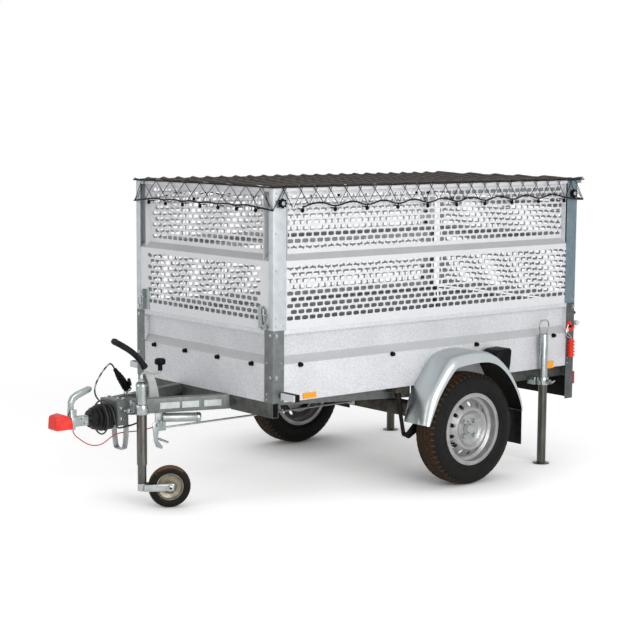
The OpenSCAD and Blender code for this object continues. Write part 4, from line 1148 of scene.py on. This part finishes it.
flaps = mirrored_pair(flap, "rubber_mudflaps")
finish(flaps, soft_rubber, "chassis", "black_plastic", "mudflaps")
finish(mirrored_pair(flap_bolts, "mudflap_bolts"), bright_zinc, "chassis", "bright_zinc")
for node, name, mat, slot, bevel, segments in (
        ("axle_beam", "square_axle_beam", dull_steel, "dark_running_gear", 3, 2),
        ("swing_arms", "trailing_arms", black_paint, "dark_running_gear", 2, 2),
        ("shock_absorbers", "oil_dampers", black_paint, "dark_running_gear", 0.8, 2),
        ("drawbar_rails", "drawbar_channels", frame_zinc, "galvanised_frame", 1.8, 3),
        ("crossmembers", "cross_channels", under_zinc, "galvanised_frame", 1.5, 2),
        ("side_members", "rear_side_channels", under_zinc, "galvanised_frame", 1.5, 2),
        ("light_board", "rear_light_board", black_paint, "dark_running_gear", 0.8, 2)):
    edged_copy(node, name, mat, "chassis", slot, bevel, segments)


# ---------------------------------------------------------------- lamps and reflectors
lamp_body = block("lamp_body", (584, 38, 522.5), (689, 64, 557), 3)
lamp_arm = block("lamp_arm", (568.9, 42, 527), (590, 62, 552), 2)
lamp_mount = mirrored_pair(joined("lamp", [lamp_body, lamp_arm]), "position_lamp_bodies")
finish(lamp_mount, black_plastic, "chassis", "black_plastic", "front_lamps")
lamp_lens = block("lens", (586, 30.5, 524), (687, 39, 555.5), 3.5, 3)
finish(mirrored_pair(lamp_lens, "position_lamp_lenses"), white_lens, "chassis", "lamp_white")
tail = block("tail", (446, 2064, 397), (564, 2081, 465), 3.0, 3)
finish(mirrored_pair(tail, "tail_lamp_lenses"), red_lens, "chassis", "lamp_red")
tail_base = block("tail_base", (444.8, 2060.4, 396.3), (564.4, 2064.5, 466), 1)
finish(mirrored_pair(tail_base, "tail_lamp_bases"), black_plastic, "chassis", "black_plastic", "tail_lamps")
amber = [block("front_amber", (565.6, 180, 510), (571, 259, 536), 1.2),
         block("rear_amber", (565.6, 1854, 500), (571, 1903, 538), 1.2)]
finish(mirrored_pair(joined("amber", amber), "amber_side_reflectors"), amber_lens, "chassis", "reflector_amber",
       "side_reflectors")


# ---------------------------------------------------------------- rear props
def prop_leg():
    x, y = 600.0, 1790.0
    tube = turned("tube", at(x, y, 0), (0, 0, 1), [(0, 4.5), (20.5, 4.8), (23, 5.2), (23, 440), (23, 692),
                                                   (22.6, 694), (20.6, 694), (20.4, 692), (20.4, 12), (0, 12)], 40)
    foot = turned("foot", at(x, y, 0), (0, 0, 1), [(0, 0), (42, 0), (44, 1.2), (44, 4), (42, 5.2), (27, 6),
                                                   (23.2, 9), (0, 9)], 40)
    bail = bent("bail", [at(x, y + dy, z) for dy, z in ((-26, 585), (-26, 640), (-26, 700), (-34, 726), (-35, 746),
                                                        (-26, 762), (-10, 767),
                                                       (10, 767), (26, 762), (35, 746), (34, 726), (26, 700),
                                                       (26, 640), (26, 585))], 4.2, 12, curved=True)
    return joined("leg", [tube, foot, bail])


prop = prop_leg()
prop.data.materials.append(tube_steel)
prop.data.materials.append(bright_zinc)
for face in prop.data.polygons:
    face.material_index = int(face.center.z > 0.43)
other_prop = twin(prop, "right_prop_leg", mirror=True)
prop.name = "left_prop_leg"
finish(prop, None, "leg_left", "bright_zinc", "leg_left")
finish(other_prop, None, "leg_right", "bright_zinc", "leg_right")
edged_copy("leg_clamps", "prop_clamps", bright_zinc, "chassis", "bright_zinc", 1.6)
cl = [hex_bolt("clamp_bolt", at(552, 1746, 445), (0, -1, 0), 7, 9),
      drum("wing_rod", at(648, 1790, 443), at(664, 1790, 443), 6, 12, bevel=0.6),
      plate("wing", [at(660, 1790 + a, 443 + b) for a, b in ((-26, -5), (-20, -8), (-6, -5), (6, 5), (22, 10),
              (27, 6), (20, 2), (4, -6), (-8, -9))], (5 * MM, 0, 0), 1.2)]
finish(mirrored_pair(joined("screws_left", cl), "prop_clamp_screws"), bright_zinc, "chassis", "bright_zinc")


# ---------------------------------------------------------------- latches
mesh_latch = [block("plate", (456, -1, 848), (498, 2.5, 952), 1.0),
              block("fold", (494, -16, 848), (498, 2, 952), 0.8),
              block("strap", (502, -14, 884), (514, -2, 942), 2.0),
              block("keeper", (504, -16, 846), (530, -2, 868), 1.5),
              drum("pivot", at(488, -9, 912), at(524, -9, 912), 4.5, 16, bevel=0.8),
              drum("pin", at(492, -11, 868), at(530, -11, 868), 3.5, 12),
              bent("wire", [at(x, -17, z) for x, z in ((506, 912), (505, 880), (508, 862), (518, 858), (526, 864),
                                                       (528, 884), (526, 908))], 2.4, 8, curved=True)]
finish(mirrored_pair(joined("latch", mesh_latch), "toggle_latches"), bright_zinc, "chassis", "bright_zinc",
       "mesh_latches")
tail_hook = plate("hook", across(569, ((2004, 690), (2014, 684), (2030, 686), (2046, 694), (2056, 708), (2056, 720),
        (2048, 722), (2040, 712), (2032, 712), (2032, 730), (2024, 744), (2010, 746), (2000, 736), (1998, 708))),
                  (9 * MM, 0, 0), 1.8)
grip = [block("grip", (571, 2012, 548), (588, 2044, 648), 5, 3)]
for i in range(5):
    grip.append(block("rib", (569.5, 2008, 555 + i * 18), (591, 2048, 564 + i * 18), 3, 2))
finish(mirrored_pair(joined("hook", [tail_hook] + grip), "tailgate_hooks_and_grips"), latch_red, "chassis",
       "latch_orange", "tailgate_latches")
wires = bent("latch_wire", across(580, ((2014, 712), (2002, 700), (1998, 684), (2008, 672), (2022, 662),
                                        (2026, 652), (2026, 640))), 3, 8, curved=True)
pin = [wires, bent("latch_wire", across(580, ((2002, 724), (1990, 700), (1988, 672), (2000, 660), (2018, 652))), 3,
                   8, curved=True)]
latch_knobs = [drum("hook_knob", at(577, 2016, 716), at(586, 2016, 716), 9, 20, 7.5, 1),
               drum("post_knob", at(555, 2060, 785), at(555, 2078, 785), 10, 20, 8.5, 1.5)]
finish(mirrored_pair(joined("knobs_left", latch_knobs), "tailgate_latch_knobs"), black_plastic, "chassis",
       "black_plastic")
finish(mirrored_pair(joined("wires_left", pin), "tailgate_latch_wires"), bright_zinc, "chassis", "bright_zinc")


# ---------------------------------------------------------------- drawbar head, coupling and brake
edged_copy("overrun_housing", "overrun_head", cast_grey, "chassis", "housing_cast", 4, 3)
head_parts = [hex_bolt("top_bolt", at(x, y, 504), (0, 0, 1), 9.5, 12) for x,
              y in ((-40, -506), (40, -506), (52, -484))]
head_parts += [hex_bolt("side_bolt", at(75, y, z), (1, 0, 0), 8, 9) for y, z in ((-512, 470), (-512, 420))]
finish(joined("head_bolts", head_parts), bright_zinc, "chassis", "bright_zinc")
rail_plates = []
RAIL_ANGLE = math.radians(17.4)
rail_dir = Vector((math.sin(RAIL_ANGLE), math.cos(RAIL_ANGLE), 0))
rail_out = Vector((rail_dir.y, -rail_dir.x, 0))


def on_rail(s, z, out=0.0):
    """A place on the left rail's outer face, s mm forward of the load box."""
    return at(220, 0, z) - rail_dir * s * MM + rail_out * out * MM


for s0, s1 in ((338, 242), (230, 146), (120, 34)):
    rail_plates.append(plate("tag", [on_rail(s0, 452, 0.2), on_rail(s1, 452, 0.2), on_rail(s1, 482, 0.2),
                                     on_rail(s0, 482, 0.2)], rail_out * 0.8 * MM, 0))
finish(joined("blank_data_plates", rail_plates), satin_zinc, "chassis", "bright_zinc")

hoop = wire("support_strap", [at(x, -484, z) for x, z in ((-52, 388), (-50, 330), (-42, 288), (-36, 270),
        (-24, 263), (24, 263), (36, 270), (42, 288), (50, 330), (52, 388))])
bpy.ops.mesh.extrude_region_move(TRANSFORM_OT_translate={"value": (0, 28 * MM, 0)})
bare()
outward(hoop)
hold(hoop)
mod = hoop.modifiers.new("thickness", "SOLIDIFY")
mod.thickness, mod.offset = 5 * MM, 0
bpy.ops.object.modifier_apply(modifier=mod.name)
rounded_edges(hoop, 1.0, 2)
finish(soft_shade(hoop), satin_zinc, "chassis", "linkage_steel", "support_hoop")
edged_copy("brake_linkage", "brake_rod_and_levers", satin_zinc, "chassis", "linkage_steel", 1.2)
pawl = plate("pawl", across(91, ((-352, 380), (-322, 396), (-290, 392), (-288, 366), (-316, 340), (-322, 300),
                                 (-300, 274), (-292, 262), (-300, 254), (-330, 268), (-342, 296), (-346, 340))),
             (6 * MM, 0, 0), 1.2)
spring_cap = drum("cap", at(137, -128, 396.4), at(144, -109, 395), 25, 24, 22, 2)
linkage = [pawl, spring_cap, hex_bolt("link_bolt", at(97, -322, 372), (1, 0, 0), 8, 10),
           hex_bolt("link_bolt", at(97, -306, 384), (1, 0, 0), 6, 8),
           drum("pull", at(96, -318, 306), at(96, -262, 282), 6, 12, 5, 1),
           hex_bolt("rail_bolt", on_rail(-24, 470), rail_out, 10, 10)]
finish(joined("brake_pawl_and_spring_cap", linkage), bright_zinc, "chassis", "linkage_steel")

edged_copy("coupling_body", "ball_coupling", bright_zinc, "coupling", "bright_zinc", 3, 3)
coupling_bits = [hex_bolt("cross_bolt", at(24, -690, 436), (1, 0, 0), 6, 7),
                 hex_bolt("cross_bolt", at(24, -672, 412), (1, 0, 0), 6, 7)]
finish(joined("coupling_cross_bolts", coupling_bits), bright_zinc, "coupling", "bright_zinc")
cap = plate("nose_cap", across(-37, ((-838, 398), (-832, 391), (-745, 391), (-745, 402), (-749, 430), (-766, 452),
                                     (-790, 463), (-826, 457), (-834, 449))),
            (74 * MM, 0, 0), 7, 4)
finish(cap, cap_red, "coupling", "cap_red", "coupling_cap")
handle = plate("coupling_grip", across(-13, ((-748, 458), (-726, 458), (-727, 500), (-719, 516), (-700, 528),
        (-636, 552), (-628, 562), (-630, 574), (-640, 578), (-708, 556), (-734, 540), (-748, 516))),
               (26 * MM, 0, 0), 5, 3)
finish(handle, bright_zinc, "coupling_handle", "bright_zinc", "coupling_handle")

folds = [(20.4, 0), (39, 0), (41, 2), (41, 13), (43, 16), (50, 19.5), (52, 23), (49.5, 27.5), (45, 31), (44.5, 34),
         (50, 38), (57, 41.5), (59, 45), (56, 50),
         (50, 54), (49.5, 57), (55, 61), (62, 65), (64, 69), (61, 74), (54, 78.5), (53.5, 81.5), (58, 85), (64, 89),
         (65.5, 93), (62.5, 98),
         (57, 102.5), (56.5, 106), (60, 110), (61, 114), (61, 125.8), (20.4, 125.8)]
gaiter = turned("rubber_gaiter", at(0, -642, 424), (0, 1, 0), [(r, 0.878 * h) for r, h in folds], 64, close=True)
gaiter.data.materials.append(soft_rubber)
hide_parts("bellows")
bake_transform(gaiter)

# Handbrake: flat pressed arm, then the rubber grip.
arm = plate("brake_arm", across(-36, ((-286, 452), (-280, 438), (-262, 430), (-240, 430), (-229, 440), (-228, 470),
                                      (-236, 520), (-250, 566),
                                                     (-276, 612), (-304, 646), (-318, 654), (-330, 644),
                                                     (-308, 606), (-290, 560), (-284, 520), (-286, 480))),
            (10 * MM, 0, 0), 1.8)
finish(arm, lever_grey, "handbrake_lever", "lever_grey", "handbrake_lever")
lever_grip = bent("grip", across(-30, ((-312, 634), (-330, 660), (-352, 686), (-388, 716), (-434, 745),
                                       (-478, 769))), 15, 20, curved=True)
ends = [drum("ring", at(-30, -309, 630), at(-30, -318, 643), 17.5, 24, bevel=2),
        drum("end", at(-30, -472, 766), at(-30, -489, 775), 17, 24, 12.5, 3)]
lever_grip = joined("brake_grip", [lever_grip] + ends)
finish(lever_grip, soft_rubber, "handbrake_lever", "black_plastic")


# ---------------------------------------------------------------- seven-pin plug and its parking socket
plug_from, plug_to = at(-90, -371, 528), at(-92, -440, 630)
plug_axis = (plug_to - plug_from).normalized()
plug_len = (plug_to - plug_from).length / MM
body = turned("plug_body", plug_from, plug_axis, [(0, 0.5), (17, 0.5), (19, 2), (19, 10), (21, 11), (21, 17),
        (19, 18), (19, 36), (17.5, 40), (19.2, 43), (19.2, 52), (17, 56), (18, 60), (18, 70), (15, 76),
              (15.5, 79), (15.5, 88), (12.5, 92), (12.5, 100), (10, 104), (10, plug_len - 8), (8, plug_len - 1),
              (0, plug_len - 0.5)], 32)
lid = drum("lid", plug_from + plug_axis * 34 * MM + Vector((0.017, 0.016, 0.004)),
           plug_from + plug_axis * 34 * MM + Vector((0.024, 0.024, 0.007)), 19, 28, bevel=1.5)
ribs = [drum("rib", plug_from + plug_axis * (20 + i * 5) * MM, plug_from + plug_axis * (22.5 + i * 5) * MM, 20, 24,
             bevel=0.5) for i in range(3)]
plug = joined("towing_plug", [body, lid] + ribs)
finish(plug, black_plastic, "chassis", "black_plastic", "plug")
edged_copy("plug_holder", "plug_parking_socket", bright_zinc, "chassis", "bright_zinc", 1.0)


# ---------------------------------------------------------------- jockey wheel
JX, JY = 152.0, -448.0
JOCKEY_TURN, CRANK_TURN = math.radians(27), math.radians(50)
edged_copy("jockey_clamp", "jockey_clamp_plates", bright_zinc, "chassis", "bright_zinc", 2)
tube = turned("jockey_outer_tube", at(JX, JY, 0), (0, 0, 1),
              [(21.4, 207), (24, 208), (24, 592), (22, 596), (0, 596.5), (0, 577), (21.2, 577), (21.2, 209)], 48,
              close=True)
finish(tube, tube_steel, "jockey_tube", "linkage_steel", "jockey_tube")
sleeve = turned("jockey_sleeve", at(JX, JY, 0), (0, 0, 1), [(24.2, 492), (26, 494), (26, 574), (27.5, 576),
                                                            (27.5, 586), (25, 590), (24.2, 590)], 48, close=True)
finish(sleeve, bright_zinc, "jockey_tube", "bright_zinc")
inner = turned("jockey_inner_tube", at(JX, JY, 0), (0, 0, 1),
               [(12.2, 118), (20, 118), (20.7, 120), (20.7, 516), (0, 518), (0, 178), (12.2, 178)], 48, close=True)
finish(inner, tube_steel, "jockey_inner", "linkage_steel", "jockey_inner")
edged_copy("jockey_fork", "jockey_fork_arms", satin_zinc, "jockey_fork", "bright_zinc", 1.5)
cx, cy = 87 * math.cos(CRANK_TURN), 87 * math.sin(CRANK_TURN)
crank = [turned("cap", at(JX, JY, 0), (0, 0, 1), [(0, 597.6), (15, 597.6), (16.5, 600), (14, 606), (9, 612),
                                                  (8.5, 628), (6.5, 632), (0, 632)], 28),
         bent("arm", [at(JX + cx * t, JY + cy * t, z) for t,
                      z in ((0, 622), (0.06, 636), (0.25, 642), (0.6, 637), (0.85, 640), (0.97, 646), (1, 660))], 5,
                      12, curved=True)]
finish(joined("jockey_crank_arm", crank), bright_zinc, "jockey_crank", "bright_zinc", "jockey_crank")
knob_parts = [turned("stem", at(JX + cx, JY + cy, 0), (0, 0, 1),
                     [(0, 652), (9, 652), (11, 655), (11, 684), (0, 688)], 20),
              turned("head", at(JX + cx, JY + cy, 0), (0, 0, 1),
                     [(0, 680), (18, 680), (24, 683), (25, 688), (25, 700), (23.5, 706), (18, 709.5), (0, 710)],
                     28)]
for i in range(10):
    a = TAU * i / 10
    knob_parts.append(drum("ridge", at(JX + cx + 24 * math.cos(a), JY + cy + 24 * math.sin(a), 684),
                           at(JX + cx + 24 * math.cos(a), JY + cy + 24 * math.sin(a), 703), 2.4, 8))
finish(joined("jockey_crank_knob", knob_parts), black_plastic, "jockey_crank", "black_plastic")
trail = Vector((math.sin(JOCKEY_TURN), math.cos(JOCKEY_TURN), 0))
axle_dir = Vector((trail.y, -trail.x, 0))
hub = at(JX, JY, 100) + trail * 128 * MM
nuts, bushes = [], []
for side in (1, -1):
    face, out = hub + axle_dir * side * 40.3 * MM, axle_dir * side
    nuts.append(hex_bolt("nut", face, out, 12, 8))
    bushes.append(drum("bush", face + out * 8.2 * MM, face + out * 10 * MM, 5.5, 16, bevel=0.4))
finish(joined("jockey_axle_nuts", nuts), bright_zinc, "jockey_fork", "bright_zinc")
finish(joined("jockey_axle_bushes", bushes), black_plastic, "jockey_fork", "black_plastic")
small_tyre = turned("jockey_solid_tyre", hub, axle_dir, [(62, -18), (68, -20), (76, -21.5), (86, -21), (94, -18),
                                                         (98.5, -12), (100, -5), (100, 5), (98.5, 12), (94, 18),
                                                         (86, 21), (76, 21.5), (68, 20), (62, 18)], 72, close=True)
small_rim = turned("jockey_pressed_rim", hub, axle_dir, [(62.2, -18.5), (64, -20), (62, -21.5), (58, -18), (56, -8),
        (50, -5), (36, -4), (30, -8), (24, -14), (20, -24), (7.3, -24),
                                                       (7.3, 24), (20, 24), (24, 14), (30, 8), (36, 4), (50, 5),
                                                       (56, 8), (58, 18), (62, 21.5), (64, 20), (62.2, 18.5)], 64,
                                                       close=True)
dust = small_tyre.data.attributes.new("tread_dust", "FLOAT", "POINT")
for i, v in enumerate(small_tyre.data.vertices):
    r = (v.co - hub - axle_dir * (v.co - hub).dot(axle_dir)).length / MM
    dust.data[i].value = 0.8 if r > 94 else 0.0
finish(small_tyre, tyre_rubber, "jockey_wheel", "jockey_tyre", "jockey_wheel")
finish(small_rim, jockey_rim_zinc, "jockey_wheel", "rim_silver")
clamp_bits = [hex_bolt("clamp_bolt", on_rail(445, 478, 8), rail_out, 8, 10),
              hex_bolt("clamp_bolt", on_rail(492, 455, 8), rail_out, 8, 10),
              bent("clamp_lever", [on_rail(500, 470, 30), on_rail(515, 466, 44), on_rail(530, 462, 50)], 5, 10)]
finish(joined("jockey_clamp_bolts", clamp_bits), bright_zinc, "chassis", "bright_zinc")
cross_bolts = [hex_bolt("cross_bolt", at(side * 265, 1.7, 474), (0, -1, 0), 9, 8) for side in (1, -1)]
finish(joined("crossmember_bolts", cross_bolts), dull_steel, "chassis", "linkage_steel")


# ---------------------------------------------------------------- floor and light
bare()
bpy.ops.mesh.primitive_plane_add(size=60, location=(0, 0, 0))
ground = settle()
ground.name = "studio_floor"
# Studio floor paper: matt and nearly white, so that only the shadows show on it.
mat, tree, shader, place = finish_named("studio floor paper", roughness=0.9)
fibre = add(tree, "TexNoise", {"Vector": place, "Scale": 1.1, "Detail": 2.0})
paper = add(tree, "ValToRGB", {"Fac": fibre.outputs["Fac"]}, stops=[(0.3, "f9f9f9"), (0.7, "fbfbfb")])
surface(tree, shader, paper.outputs["Color"])
# Close to the object the paper gets an added white glow for camera and glossy rays wherever nothing stands near it;
# the glow fades by ambient occlusion, which paints shade round what stands on it beside the lit shadows; further
# out the sweep runs to plain white.
span = add(tree, "VectorMath", {0: place}, operation="LENGTH").outputs["Value"]
far_off = add(tree, "MapRange", {"Value": span, "From Min": 2.2, "From Max": 4.2, "To Min": 0.0},
              interpolation_type="SMOOTHSTEP")
rays = add(tree, "LightPath")
seen = add(tree, "Math", {0: rays.outputs["Is Camera Ray"], 1: rays.outputs["Is Glossy Ray"]}, operation="MAXIMUM")
part = add(tree, "Math", {0: far_off.outputs["Result"], 1: seen.outputs[0]}, operation="MULTIPLY")
plain = add(tree, "Emission", {"Color": (1, 1, 1, 1), "Strength": 1.0})
near = add(tree, "AmbientOcclusion", {"Distance": 0.45}, samples=12)
clear = add(tree, "Math", {0: near.outputs["AO"], 1: 2.0}, operation="POWER")
lift = add(tree, "Math", {0: clear.outputs[0], 1: seen.outputs[0]}, operation="MULTIPLY")
lift = add(tree, "Math", {0: lift.outputs[0], 1: 0.42}, operation="MULTIPLY")
glow = add(tree, "Emission", {"Color": (1, 1, 1, 1), "Strength": lift.outputs[0]})
lifted = add(tree, "AddShader", {0: shader.outputs[0], 1: glow.outputs[0]})
sweep = add(tree, "MixShader", {0: part.outputs[0], 1: lifted.outputs[0], 2: plain.outputs[0]})
tree.links.new(sweep.outputs[0], tree.nodes["Material Output"].inputs["Surface"])
ground.data.materials.append(mat)

world = bpy.data.worlds.new("studio")
bpy.context.scene.world = world
world.use_nodes = True
tree = world.node_tree
soft = tree.nodes["Background"]
soft.inputs["Color"].default_value = (1, 1, 1, 1)
soft.inputs["Strength"].default_value = 0.52
white = add(tree, "Background", {"Color": (1, 1, 1, 1), "Strength": 1.0})
rays = add(tree, "LightPath")
seen = add(tree, "Math", {0: rays.outputs["Is Camera Ray"], 1: rays.outputs["Is Glossy Ray"]}, operation="MAXIMUM")
seen = add(tree, "Math", {0: seen.outputs[0], 1: rays.outputs["Is Transmission Ray"]}, operation="MAXIMUM")
around = add(tree, "MixShader", {0: seen.outputs[0], 1: soft.outputs[0], 2: white.outputs[0]})
tree.links.new(around.outputs[0], tree.nodes["World Output"].inputs["Surface"])


def softbox(name, place, target, size, power):
    light = bpy.data.lights.new(name, "AREA")
    light.shape, light.size, light.energy = "SQUARE", size, power
    lamp = bpy.data.objects.new(name, light)
    lamp.location = place
    lamp.rotation_euler = (Vector(target) - Vector(place)).to_track_quat("-Z", "Y").to_euler()
    bpy.context.scene.collection.objects.link(lamp)


softbox("side_softbox", (7.0, -1.2, 2.6), (0, 0, 0.9), 4.5, 310)
softbox("front_softbox", (-1.0, -7.5, 2.6), (0, 0, 0.9), 3.5, 90)
bpy.context.scene.view_settings.view_transform = "Standard"
